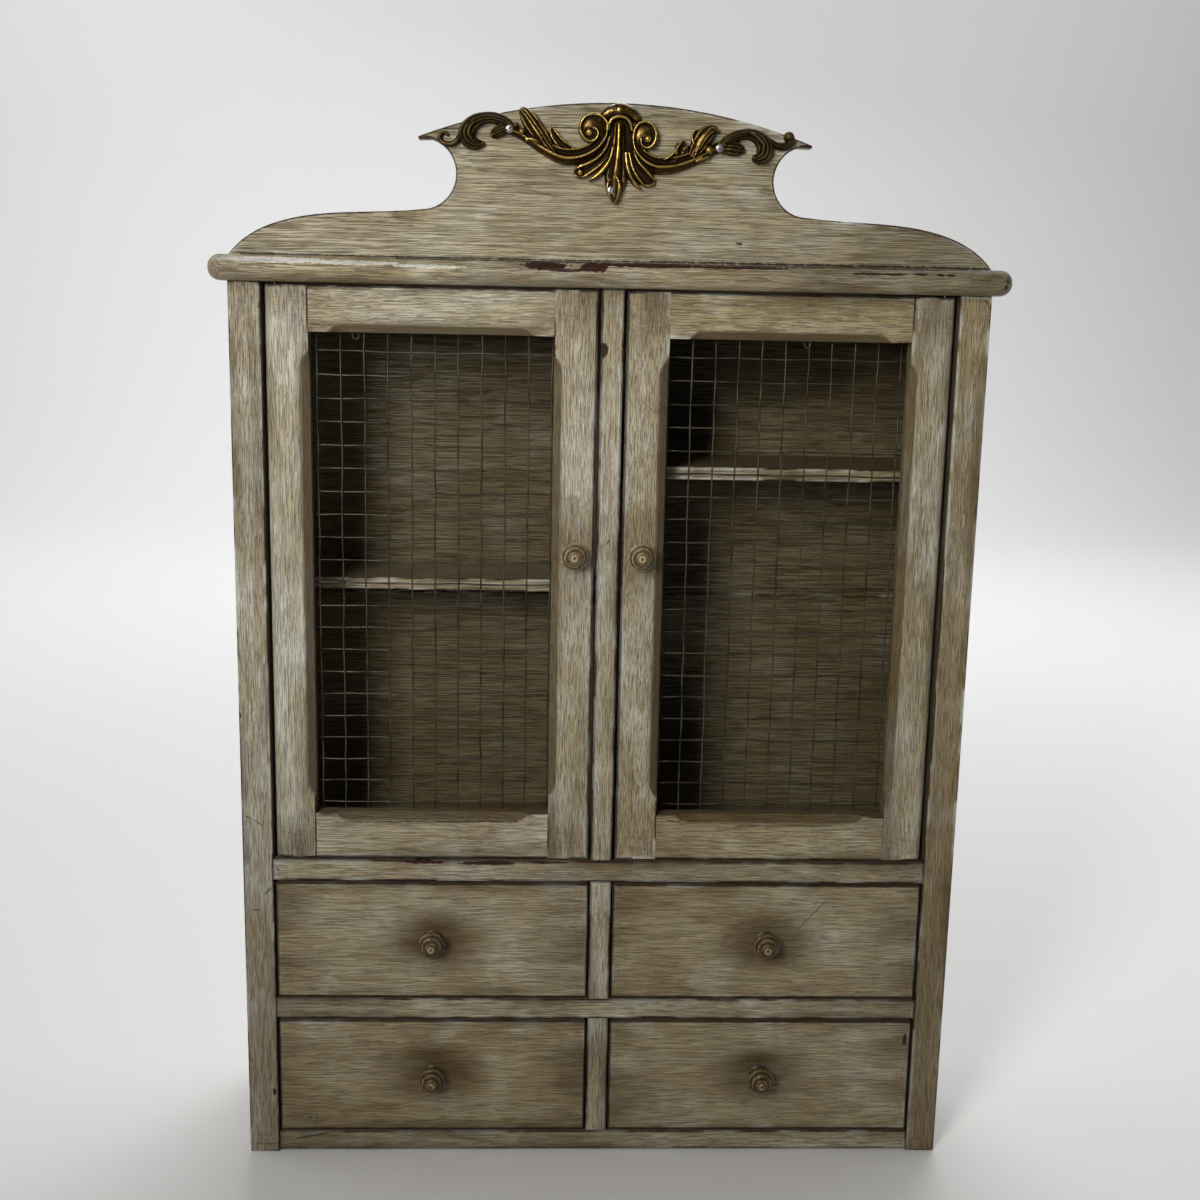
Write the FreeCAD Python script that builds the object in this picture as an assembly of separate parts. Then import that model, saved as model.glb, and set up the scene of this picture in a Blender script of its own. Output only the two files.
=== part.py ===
import FreeCAD, Part
import math
import os

# A small painted wall cabinet: two mesh-front doors over four drawers, a bullnosed cornice
# and a shaped pediment with a gilt mount. Millimetres, +Z up, +X right, the front faces -Y.
# The origin is the middle of the footprint, knobs included, at the level of the feet.

V = FreeCAD.Vector

# Carcass
face_width = 406.0
face_height = 502.0
carcass_depth = 108.0
side_thickness = 10.0
back_thickness = 6.0
back_rabbet = 5.0
back_joint_height = 318.0
board_thickness = 9.0
partition_thickness = 9.0

# Face frame
frame_thickness = 12.0
stile_width = 17.0
mullion_width = 12.0
bottom_rail_foot = 1.5
bottom_rail_top = 13.0
middle_rail_bottom = 85.0
middle_rail_top = 97.0
upper_rail_bottom = 169.5
upper_rail_top = 181.5

# Cornice
cornice_thickness = 13.5
cornice_end_overhang = 9.5
cornice_front_overhang = 10.0
cornice_corner_radius = 9.0
bullnose_share = 0.47

# Pediment outline, measured from its foot on the cornice and from the middle
pediment_thickness = 9.0
pediment_setback = 4.0
pediment_half_width = 202.4
pediment_tip_height = 0.6
wing_height = 25.2
wing_shares = [(0.15, 0.50), (0.30, 0.73), (0.52, 0.88)]
neck_cut_radius = 18.4
neck_cut_offset = 101.8
horn_overhang = 1.2
horn_tip_height = 1.2
horn_underside_share = 0.32
crown_rise = 19.0

# Gilt mount on the pediment
ornament_half_width = 92.0
ornament_height = 52.0
ornament_relief = 7.0
ornament_top_margin = 1.0
ornament_lean_share = 0.055
ornament_sway_share = 0.20
ornament_recoil_share = 0.245
ornament_crest_share = 0.42
ornament_pad_radius = 2.9
ornament_pad_height = 4.0
screw_head_radius = 2.2
screw_head_height = 1.3
screw_shank_radius = 1.1
screw_length = 11.0

# Shelves
shelf_thickness = 7.0
shelf_left_top = 336.0
shelf_left_setback = 48.0
shelf_right_top = 405.5
shelf_right_setback = 24.0
cleat_height = 8.0
cleat_width = 6.0
cleat_front_inset = 6.0

# Doors
door_thickness = 11.0
front_recess = 0.5
door_stile_width = 23.0
door_top_rail = 24.5
door_bottom_rail = 26.0
door_hinge_gap = 1.6
door_meeting_gap = 1.8
door_top_gap = 1.2
door_bottom_gap = 1.6
tenon_length = 14.0
tenon_thickness = 3.6
tenon_shoulder = 4.0
chamfer_depth = 3.6
chamfer_stop = 10.0
chamfer_runout_radius = 14.0
pin_radius = 1.5
pin_clearance = 0.05
pin_seat_depth = 8.0
pin_door_depth = 12.0
pin_end_clearance = 0.5

# Welded mesh
mesh_pitch = 12.7
mesh_overlap = 12.0
mesh_shift_across = 1.0
mesh_shift_down = 3.5
wire_radius = 0.45
wire_flats = 6
wire_end = 1.6

# Magnetic catches
magnet_width = 12.0
magnet_depth = 11.0
magnet_length = 24.0
magnet_drop = 32.0
strike_width = 7.0
strike_thickness = 0.8
strike_margin = 1.0
strike_gap = 0.15

# Drawers
drawer_front_thickness = 11.5
drawer_side_gap = 0.9
drawer_top_gap = 1.8
drawer_bottom_gap = 1.0
drawer_running_gap = 0.2
drawer_back_gap = 0.3
drawer_wall = 6.0
drawer_wall_drop = 5.0
drawer_front_rabbet = 6.0
drawer_bottom_thickness = 3.0
drawer_bottom_rise = 4.0
drawer_groove = 3.0
guide_height = 12.0

# Knobs: radius and distance from the seat of each turned step
knob_shank_radius = 4.6
knob_socket_depth = 8.5
knob_disc_radius = 7.4
knob_disc_low = 6.4
knob_disc_high = 9.2
knob_ring_radius = 5.7
knob_ring_high = 11.8
knob_nipple_radius = 2.2
knob_height = 15.0
door_knob_height = 359.0

# Wall fixing through the upper back board
wall_hole_radius = 2.5
wall_hole_spacing = 300.0
wall_hole_drop = 24.0

# Allowance by which cutting shapes pass the surfaces they cut
overrun = 1.0

# Levels and planes worked out from the sizes above
face_y = (knob_height - front_recess - carcass_depth) / 2
frame_back_y = face_y + frame_thickness
rear_y = face_y + carcass_depth
back_front_y = rear_y - back_thickness
front_y = face_y + front_recess
half_face = face_width / 2
side_inner_x = half_face - side_thickness
stile_inner_x = half_face - stile_width
half_mullion = mullion_width / 2
half_partition = partition_thickness / 2
cornice_top = face_height + cornice_thickness
pediment_y = face_y + pediment_setback
horn_height = wing_height + 2 * neck_cut_radius
horn_reach = neck_cut_offset + horn_overhang
pediment_height = horn_height + crown_rise

nodes = {}


def block(x_low, x_high, y_low, y_high, z_low, z_high):
    """A box between two opposite corners, given in either order across the middle."""
    left = min(x_low, x_high)
    size = V(abs(x_high - x_low), y_high - y_low, z_high - z_low)
    return Part.makeBox(size.x, size.y, size.z, V(left, y_low, z_low))


def mirrored(shape):
    """The same piece on the other side of the middle plane."""
    return shape.mirror(V(0, 0, 0), V(1, 0, 0))


def add_pair(name_start, left_shape):
    """Store a left piece and its mirror image under their own names."""
    nodes[name_start + "_left"] = left_shape
    nodes[name_start + "_right"] = mirrored(left_shape)


def upright_cylinder(radius, x, y, z_low, z_high):
    return Part.makeCylinder(radius, z_high - z_low, V(x, y, z_low), V(0, 0, 1))


# Door places, on the left side
door_hinge_x = -stile_inner_x + door_hinge_gap
door_meeting_x = -half_mullion - door_meeting_gap
door_back_y = front_y + door_thickness
door_low_z = upper_rail_top + door_bottom_gap
door_high_z = face_height - door_top_gap
pivot_radius = door_thickness / 2
pivot_x = door_hinge_x + pivot_radius
pivot_y = front_y + pivot_radius
window_left_x = door_hinge_x + door_stile_width
window_right_x = door_meeting_x - door_stile_width
window_low_z = door_low_z + door_bottom_rail
window_high_z = door_high_z - door_top_rail


def make_sides():
    side = block(-half_face, -side_inner_x, frame_back_y, rear_y, 0, face_height)
    rabbet_x = -side_inner_x - back_rabbet
    rabbet = block(rabbet_x, -side_inner_x + overrun, back_front_y, rear_y + overrun,
                   -overrun, face_height + overrun)
    add_pair("side", side.cut(rabbet))


def make_back_boards():
    half_back = side_inner_x + back_rabbet
    lower = block(-half_back, half_back, back_front_y, rear_y, 0, back_joint_height)
    upper = block(-half_back, half_back, back_front_y, rear_y, back_joint_height, face_height)
    hole_z = face_height - wall_hole_drop
    for sign in (-1, 1):
        mouth = V(sign * wall_hole_spacing / 2, back_front_y - overrun, hole_z)
        length = back_thickness + 2 * overrun
        upper = upper.cut(Part.makeCylinder(wall_hole_radius, length, mouth, V(0, 1, 0)))
    nodes["back_board_lower"] = lower
    nodes["back_board_upper"] = upper


def make_boards():
    """The bottom, the board between the drawer rows and the cupboard floor."""
    tops = {
        "bottom_board": bottom_rail_top,
        "drawer_dust_board": middle_rail_top,
        "cupboard_floor": upper_rail_top,
    }
    for name, top in tops.items():
        nodes[name] = block(-side_inner_x, side_inner_x, frame_back_y, back_front_y,
                            top - board_thickness, top)


def make_partitions():
    nodes["cupboard_partition"] = block(-half_partition, half_partition, frame_back_y,
                                        back_front_y, upper_rail_top, face_height)
    walls = []
    for low, high in ((bottom_rail_top, middle_rail_top), (middle_rail_top, upper_rail_top)):
        walls.append(block(-half_mullion, half_mullion, frame_back_y, back_front_y,
                           low, high - board_thickness))
    nodes["drawer_partitions"] = Part.makeCompound(walls)


def make_drawer_guides():
    """Strips that fill the step between the side boards and the wider face stiles."""
    strips = []
    for floor in (bottom_rail_top, middle_rail_top):
        strip = block(-side_inner_x, -stile_inner_x, frame_back_y, back_front_y,
                      floor, floor + guide_height)
        strips.append(strip)
        strips.append(mirrored(strip))
    nodes["drawer_guides"] = Part.makeCompound(strips)


def make_face_frame():
    stile = block(-half_face, -stile_inner_x, face_y, frame_back_y, 0, face_height)
    add_pair("face_stile", stile)
    nodes["face_mullion"] = block(-half_mullion, half_mullion, face_y, frame_back_y,
                                  upper_rail_top, face_height)
    rails = {
        "face_rail_bottom": (bottom_rail_foot, bottom_rail_top),
        "face_rail_middle": (middle_rail_bottom, middle_rail_top),
        "face_rail_upper": (upper_rail_bottom, upper_rail_top),
    }
    for name, (low, high) in rails.items():
        nodes[name] = block(-stile_inner_x, stile_inner_x, face_y, frame_back_y, low, high)
    bottom_pins = pivot_pin_bottom(pin_radius)
    upper_rail = nodes["face_rail_upper"].cut(bottom_pins)
    nodes["face_rail_upper"] = upper_rail.cut(mirrored(bottom_pins))
    muntins = []
    for low, high in ((bottom_rail_top, middle_rail_bottom), (middle_rail_top, upper_rail_bottom)):
        muntins.append(block(-half_mullion, half_mullion, face_y, frame_back_y, low, high))
    nodes["drawer_muntins"] = Part.makeCompound(muntins)


def pivot_pin_top(radius):
    return upright_cylinder(radius, pivot_x, pivot_y, door_high_z - pin_door_depth,
                            face_height + pin_seat_depth)


def pivot_pin_bottom(radius):
    return upright_cylinder(radius, pivot_x, pivot_y, upper_rail_top - pin_seat_depth,
                            door_low_z + pin_door_depth)


def make_pivot_pins():
    pins = [pivot_pin_top(pin_radius), pivot_pin_bottom(pin_radius)]
    nodes["door_pivot_pins"] = Part.makeCompound(pins + [mirrored(pin) for pin in pins])


def make_cornice():
    """A top board with rounded front corners and a bullnose along the front and both ends."""
    half = half_face + cornice_end_overhang
    nose_y = face_y - cornice_front_overhang
    board = block(-half, half, nose_y, rear_y, face_height, cornice_top)
    corners = [edge for edge in board.Edges
               if edge.Vertexes[0].Y < face_y and edge.Vertexes[-1].Y < face_y
               and abs(edge.tangentAt(edge.FirstParameter).z) > bullnose_share]
    board = board.makeFillet(cornice_corner_radius, corners)
    rims = [edge for edge in board.Edges
            if abs(edge.tangentAt(edge.FirstParameter).z) < bullnose_share
            and edge.CenterOfMass.y < rear_y - overrun]
    board = board.makeFillet(cornice_thickness * bullnose_share, rims)
    top_pin = pivot_pin_top(pin_radius)
    nodes["cornice_board"] = board.cut(top_pin).cut(mirrored(top_pin))


def pediment_point(x, z):
    return V(x, pediment_y, cornice_top + z)


def make_pediment():
    """A board cut with swept wings, round neck cuts under pointed horns and an arched top."""
    def half_edges(sign):
        tip = pediment_point(sign * pediment_half_width, pediment_tip_height)
        wing_run = pediment_half_width - neck_cut_offset
        wing_rise = wing_height - pediment_tip_height
        corner = pediment_point(sign * neck_cut_offset, wing_height)
        wing_points = [tip]
        for run_share, rise_share in wing_shares:
            x = sign * (pediment_half_width - wing_run * run_share)
            wing_points.append(pediment_point(x, pediment_tip_height + wing_rise * rise_share))
        wing_points.append(corner)
        wing = Part.BSplineCurve()
        wing.interpolate(wing_points)
        cut_z = wing_height + neck_cut_radius
        waist = pediment_point(sign * (neck_cut_offset - neck_cut_radius), cut_z)
        inset = neck_cut_radius * horn_underside_share
        rise = math.sqrt(neck_cut_radius ** 2 - inset ** 2)
        under = pediment_point(sign * (neck_cut_offset - inset), cut_z + rise)
        horn_low = pediment_point(sign * horn_reach, horn_height - horn_tip_height)
        horn_top = pediment_point(sign * horn_reach, horn_height)
        base = pediment_point(sign * pediment_half_width, 0)
        return horn_top, base, [
            Part.makeLine(base, tip),
            wing.toShape(),
            Part.Arc(corner, waist, under).toShape(),
            Part.makeLine(under, horn_low),
            Part.makeLine(horn_low, horn_top),
        ]

    left_horn, left_base, left_edges = half_edges(-1)
    right_horn, right_base, right_edges = half_edges(1)
    crown = Part.Arc(left_horn, pediment_point(0, pediment_height), right_horn).toShape()
    foot = Part.makeLine(left_base, right_base)
    outline = Part.Wire(Part.__sortEdges__(left_edges + [crown, foot] + right_edges))
    board = Part.Face(outline).extrude(V(0, pediment_thickness, 0))
    for hole in ornament_screw_holes():
        board = board.cut(hole)
    nodes["pediment_board"] = board


# Gilt mount. Places run outward from the middle and down from the top of the crown, as shares
# of the half width and of the height. Widths are shares of the half width, heights of the relief.
volute_centre_shares = (0.150, 0.310)
volute_outer_share = 0.072
volute_inner_share = 0.024
volute_turns_share = 1.30
volute_steps = 10
volute_eye_share = 0.022
volute_disc_sides = 10
arm_shares = [
    (0.080, 0.345, 0.034, 0.80), (0.088, 0.480, 0.046, 0.85), (0.145, 0.595, 0.060, 0.90),
    (0.228, 0.645, 0.074, 0.95), (0.316, 0.618, 0.078, 0.95), (0.404, 0.540, 0.070, 0.90),
    (0.478, 0.450, 0.062, 0.85), (0.563, 0.370, 0.056, 0.80), (0.625, 0.290, 0.052, 0.80),
    (0.720, 0.215, 0.054, 0.85), (0.800, 0.232, 0.056, 0.90), (0.860, 0.320, 0.052, 0.85),
    (0.868, 0.440, 0.048, 0.75), (0.825, 0.510, 0.036, 0.60), (0.778, 0.490, 0.018, 0.45),
]
tail_shares = [
    (0.845, 0.330, 0.030, 0.55), (0.905, 0.410, 0.032, 0.55), (0.960, 0.410, 0.030, 0.50),
    (0.988, 0.350, 0.026, 0.50), (0.970, 0.300, 0.022, 0.45), (0.948, 0.330, 0.014, 0.40),
]
leaf_shares = [
    [(0.400, 0.560, 0.050, 0.60), (0.440, 0.400, 0.092, 0.80), (0.490, 0.260, 0.088, 0.75),
     (0.535, 0.150, 0.050, 0.55), (0.560, 0.105, 0.012, 0.35)],
    [(0.300, 0.600, 0.034, 0.60), (0.345, 0.450, 0.042, 0.70), (0.372, 0.350, 0.034, 0.60),
     (0.392, 0.295, 0.010, 0.35)],
    [(0.615, 0.320, 0.044, 0.60), (0.660, 0.390, 0.060, 0.65), (0.705, 0.450, 0.020, 0.40)],
    [(0.050, 0.420, 0.050, 0.65), (0.110, 0.620, 0.056, 0.75), (0.175, 0.725, 0.054, 0.65),
     (0.220, 0.745, 0.020, 0.40)],
    [(0.030, 0.460, 0.050, 0.65), (0.074, 0.680, 0.050, 0.75), (0.115, 0.790, 0.034, 0.60),
     (0.142, 0.840, 0.010, 0.35)],
]
drop_shares = [
    (0, 0.130, 0.060, 0.70), (0, 0.260, 0.054, 0.95), (0, 0.480, 0.072, 1.00),
    (0, 0.680, 0.096, 0.95), (0, 0.760, 0.110, 0.85), (0, 0.900, 0.082, 0.70),
    (0, 1.000, 0.014, 0.40),
]
crown_shares = [(0, 0.000, 0.060, 0.55), (0, 0.100, 0.160, 0.75), (0, 0.210, 0.200, 0.70),
                (0, 0.360, 0.110, 0.60)]
screw_place_shares = [(-0.595, 0.330), (0.595, 0.330), (0, 0.830)]


def ornament_place(across_share, down_share):
    """A place on the pediment's front from its shares of the mount's size.

    The mount was bent when it was fixed: its foot leans left, its right arm dips and its ends recoil.
    """
    dip_share = ornament_sway_share * across_share - ornament_recoil_share * across_share ** 3
    x = across_share * ornament_half_width - ornament_lean_share * down_share * ornament_height
    top_z = cornice_top + pediment_height - ornament_top_margin
    return V(x, pediment_y, top_z - (down_share + dip_share) * ornament_height)


def relief_stroke(places, widths, heights):
    """A tapering raised band with a flat back and a narrower flat crest, along a path."""
    sections = []
    last = len(places) - 1
    for index, place in enumerate(places):
        ahead = places[min(index + 1, last)] - places[max(index - 1, 0)]
        ahead.normalize()
        across = ahead.cross(V(0, 1, 0)) * (widths[index] / 2)
        crest = across * ornament_crest_share
        rise = V(0, -heights[index], 0)
        corners = [place - across, place - crest + rise, place + crest + rise, place + across]
        sections.append(corners)
    return faceted_solid(sections)


def faceted_solid(sections):
    """A closed solid of flat faces through a row of sections with the same number of corners."""
    outlines = [sections[0], sections[-1]]
    for near, far in zip(sections, sections[1:]):
        for corner in range(len(near)):
            following = (corner + 1) % len(near)
            outlines.append([near[corner], near[following], far[following]])
            outlines.append([near[corner], far[following], far[corner]])
    faces = [Part.Face(Part.makePolygon(outline + outline[:1])) for outline in outlines]
    shell = Part.Shell(faces)
    shell.sewShape()
    solid = Part.Solid(shell)
    if solid.Volume < 0:
        solid.reverse()
    return solid


def stroke_from_shares(shares, sign):
    places = [ornament_place(sign * across, down) for across, down, width, height in shares]
    widths = [width * ornament_half_width for across, down, width, height in shares]
    heights = [height * ornament_relief for across, down, width, height in shares]
    return relief_stroke(places, widths, heights)


def volute_stroke(sign):
    """A spiral band that winds in from the arm's upper end to the eye."""
    centre = ornament_place(sign * volute_centre_shares[0], volute_centre_shares[1])
    places = []
    widths = []
    heights = []
    for step in range(volute_steps + 1):
        done = step / volute_steps
        radius_share = volute_outer_share + (volute_inner_share - volute_outer_share) * done
        radius = radius_share * ornament_half_width
        turn = math.pi - volute_turns_share * 2 * math.pi * done
        places.append(centre + V(sign * radius * math.cos(turn), 0, radius * math.sin(turn)))
        widths.append(arm_shares[0][2] * ornament_half_width * (1 - done / 2))
        heights.append(arm_shares[0][3] * ornament_relief)
    return relief_stroke(places, widths, heights)


def volute_disc(centre, radius_share, height_share):
    """A many-sided raised disc, for the floor and the eye of a volute."""
    corners = []
    for corner in range(volute_disc_sides):
        turn = 2 * math.pi * corner / volute_disc_sides
        reach = radius_share * ornament_half_width
        corners.append(centre + V(reach * math.cos(turn), 0, reach * math.sin(turn)))
    face = Part.Face(Part.makePolygon(corners + corners[:1]))
    return face.extrude(V(0, -height_share * ornament_relief, 0))


def screw_pad_centres():
    return [ornament_place(across, down) for across, down in screw_place_shares]


def ornament_screw_holes():
    holes = []
    for centre in screw_pad_centres():
        front = centre + V(0, -ornament_relief, 0)
        reach = ornament_relief + screw_length - ornament_pad_height
        holes.append(Part.makeCylinder(screw_shank_radius, reach, front, V(0, 1, 0)))
    return holes


def make_ornament():
    solids = []
    for sign in (-1, 1):
        solids.append(stroke_from_shares(arm_shares, sign))
        solids.append(stroke_from_shares(tail_shares, sign))
        solids.append(volute_stroke(sign))
        solids += [stroke_from_shares(shares, sign) for shares in leaf_shares]
        centre = ornament_place(sign * volute_centre_shares[0], volute_centre_shares[1])
        solids.append(volute_disc(centre, volute_eye_share, 1))
        solids.append(volute_disc(centre, volute_outer_share, ornament_crest_share))
    solids.append(stroke_from_shares(drop_shares, 1))
    solids.append(stroke_from_shares(crown_shares, 1))
    for centre in screw_pad_centres():
        solids.append(Part.makeCylinder(ornament_pad_radius, ornament_pad_height,
                                        centre, V(0, -1, 0)))
    mount = solids[0].multiFuse(solids[1:]).removeSplitter()
    for centre in screw_pad_centres():
        clear = Part.makeCylinder(ornament_pad_radius, ornament_relief + overrun,
                                  centre + V(0, -ornament_pad_height, 0), V(0, -1, 0))
        mount = mount.cut(clear)
    for hole in ornament_screw_holes():
        mount = mount.cut(hole)
    nodes["pediment_ornament"] = mount


def make_ornament_screws():
    screws = []
    for centre in screw_pad_centres():
        seat = centre + V(0, -ornament_pad_height, 0)
        head = Part.makeCylinder(screw_head_radius, screw_head_height, seat, V(0, -1, 0))
        shank = Part.makeCylinder(screw_shank_radius, screw_length, seat, V(0, 1, 0))
        screws.append(head.fuse(shank))
    nodes["ornament_screws"] = Part.makeCompound(screws)


def make_shelves():
    shelves = {
        "shelf_left": (-side_inner_x, -half_partition, shelf_left_top, shelf_left_setback),
        "shelf_right": (half_partition, side_inner_x, shelf_right_top, shelf_right_setback),
    }
    cleats = []
    for name, (x_low, x_high, top, setback) in shelves.items():
        front = face_y + setback
        underside = top - shelf_thickness
        nodes[name] = block(x_low, x_high, front, back_front_y, underside, top)
        for wall_x, inward in ((x_low, cleat_width), (x_high, -cleat_width)):
            cleats.append(block(wall_x, wall_x + inward, front + cleat_front_inset, back_front_y,
                                underside - cleat_height, underside))
    nodes["shelf_cleats"] = Part.makeCompound(cleats)


def make_catches():
    """Magnet blocks on the partition, each facing a steel strike on the door's back."""
    high_z = face_height - magnet_drop
    low_z = high_z - magnet_length
    outer_x = -half_partition - magnet_width
    strike_back_y = door_back_y + strike_thickness
    magnet = block(outer_x, -half_partition, strike_back_y + strike_gap,
                   strike_back_y + strike_gap + magnet_depth, low_z, high_z)
    nodes["catch_magnets"] = Part.makeCompound([magnet, mirrored(magnet)])
    strike_x = door_meeting_x - strike_margin
    strike = block(strike_x - strike_width, strike_x, door_back_y, strike_back_y, low_z, high_z)
    add_pair("strike_plate", strike)


def stopped_chamfer(start, along, inward, length):
    """A cutter for one arris: a flat chamfer with a round run-out at both ends."""
    run = math.sqrt(chamfer_depth * (2 * chamfer_runout_radius - chamfer_depth))
    half_sweep = math.acos(1 - chamfer_depth / chamfer_runout_radius) / 2
    lift = chamfer_runout_radius * (math.cos(half_sweep) - 1) + chamfer_depth
    shift = chamfer_runout_radius * math.sin(half_sweep)

    def place(distance, depth):
        return start + along * distance + inward * depth

    first = [place(0, 0), place(run - shift, lift), place(run, chamfer_depth)]
    second = [place(length - run, chamfer_depth), place(length - run + shift, lift),
              place(length, 0)]
    top_end = place(length, -overrun)
    top_start = place(0, -overrun)
    edges = [
        Part.Arc(*first).toShape(),
        Part.makeLine(first[2], second[0]),
        Part.Arc(*second).toShape(),
        Part.makeLine(second[2], top_end),
        Part.makeLine(top_end, top_start),
        Part.makeLine(top_start, first[0]),
    ]
    half_width = along.cross(inward) * (chamfer_depth + overrun)
    face = Part.Face(Part.Wire(edges))
    face.translate(half_width * -1)
    return face.extrude(half_width * 2)


def door_chamfers():
    """Cutters for the four inner front arrises of the left door, by the piece they cut."""
    slope = math.sqrt(1 / 2)
    height = window_high_z - window_low_z - 2 * chamfer_stop
    width = window_right_x - window_left_x - 2 * chamfer_stop
    low_z = window_low_z + chamfer_stop
    left_x = window_left_x + chamfer_stop
    up = V(0, 0, 1)
    right = V(1, 0, 0)
    return {
        "hinge_stile": stopped_chamfer(V(window_left_x, front_y, low_z), up,
                                       V(-slope, slope, 0), height),
        "meeting_stile": stopped_chamfer(V(window_right_x, front_y, low_z), up,
                                         V(slope, slope, 0), height),
        "top_rail": stopped_chamfer(V(left_x, front_y, window_high_z), right,
                                    V(0, slope, slope), width),
        "bottom_rail": stopped_chamfer(V(left_x, front_y, window_low_z), right,
                                       V(0, slope, -slope), width),
    }


def door_tenons(low_z, high_z):
    """The two tenons of one door rail."""
    low_y = front_y + (door_thickness - tenon_thickness) / 2
    high_y = low_y + tenon_thickness
    low = low_z + tenon_shoulder
    high = high_z - tenon_shoulder
    return [
        block(window_left_x - tenon_length, window_left_x, low_y, high_y, low, high),
        block(window_right_x, window_right_x + tenon_length, low_y, high_y, low, high),
    ]


def make_doors():
    chamfers = door_chamfers()
    rail_levels = {"top_rail": (window_high_z, door_high_z),
                   "bottom_rail": (door_low_z, window_low_z)}
    hinge = block(pivot_x, window_left_x, front_y, door_back_y, door_low_z, door_high_z)
    hinge = hinge.fuse(upright_cylinder(pivot_radius, pivot_x, pivot_y, door_low_z, door_high_z))
    hinge = hinge.removeSplitter()
    meeting = block(window_right_x, door_meeting_x, front_y, door_back_y, door_low_z, door_high_z)
    for rail, (low_z, high_z) in rail_levels.items():
        left_tenon, right_tenon = door_tenons(low_z, high_z)
        hinge = hinge.cut(left_tenon)
        meeting = meeting.cut(right_tenon)
        body = block(window_left_x, window_right_x, front_y, door_back_y, low_z, high_z)
        body = body.fuse(left_tenon).fuse(right_tenon).cut(chamfers[rail])
        add_pair("door_" + rail, body)
    reach = pin_door_depth + pin_end_clearance
    hole_radius = pin_radius + pin_clearance
    hinge = hinge.cut(upright_cylinder(hole_radius, pivot_x, pivot_y,
                                       door_high_z - reach, door_high_z + overrun))
    hinge = hinge.cut(upright_cylinder(hole_radius, pivot_x, pivot_y,
                                       door_low_z - overrun, door_low_z + reach))
    add_pair("door_hinge_stile", hinge.cut(chamfers["hinge_stile"]))
    knob_x = door_meeting_x - door_stile_width / 2 + strike_margin
    meeting = meeting.cut(chamfers["meeting_stile"])
    meeting = meeting.cut(knob_socket(knob_x, door_knob_height))
    add_pair("door_meeting_stile", meeting)
    add_pair("door_knob", knob(knob_x, door_knob_height))


def straight_wire(start, along):
    """A wire of few flats, with two of them facing the door and the room."""
    corner_reach = wire_radius / math.cos(math.pi / wire_flats)
    side = along.cross(V(0, 1, 0)).normalize()
    corners = []
    for flat in range(wire_flats):
        turn = 2 * math.pi * (flat + 1 / 2) / wire_flats
        corners.append(start + V(0, 1, 0) * (corner_reach * math.cos(turn))
                       + side * (corner_reach * math.sin(turn)))
    return Part.Face(Part.makePolygon(corners + corners[:1])).extrude(along)


def make_meshes():
    """Straight welded wires in two layers on the back of each door frame."""
    mid_x = (window_left_x + window_right_x) / 2 + mesh_shift_across
    mid_z = (window_low_z + window_high_z) / 2 - mesh_shift_down
    columns = int((window_right_x - window_left_x + 2 * mesh_overlap) / mesh_pitch) + 1
    rows = int((window_high_z - window_low_z + 2 * mesh_overlap) / mesh_pitch) + 1
    half_width = (columns - 1) / 2 * mesh_pitch
    half_height = (rows - 1) / 2 * mesh_pitch
    near_y = door_back_y + wire_radius
    far_y = near_y + 2 * wire_radius
    wires = []
    for column in range(columns):
        x = mid_x - half_width + column * mesh_pitch
        wires.append(straight_wire(V(x, near_y, mid_z - half_height - wire_end),
                                   V(0, 0, 2 * (half_height + wire_end))))
    for row in range(rows):
        z = mid_z - half_height + row * mesh_pitch
        wires.append(straight_wire(V(mid_x - half_width - wire_end, far_y, z),
                                   V(2 * (half_width + wire_end), 0, 0)))
    add_pair("door_mesh", Part.makeCompound(wires))


def knob_socket(x, z):
    return Part.makeCylinder(knob_shank_radius, knob_socket_depth, V(x, front_y, z), V(0, 1, 0))


def knob(x, z):
    """A turned knob: disc, raised ring and nipple, on a straight shank that fills its socket."""
    steps = [
        (0, -knob_socket_depth), (knob_shank_radius, -knob_socket_depth),
        (knob_shank_radius, knob_disc_low),
        (knob_disc_radius, knob_disc_low), (knob_disc_radius, knob_disc_high),
        (knob_ring_radius, knob_disc_high), (knob_ring_radius, knob_ring_high),
        (knob_nipple_radius, knob_ring_high), (knob_nipple_radius, knob_height), (0, knob_height),
    ]
    points = [V(radius, -height, 0) for radius, height in steps]
    profile = Part.Face(Part.makePolygon(points + points[:1]))
    turned = profile.revolve(V(0, 0, 0), V(0, 1, 0), 360)
    turned.translate(V(x, front_y, z))
    return turned


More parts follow.
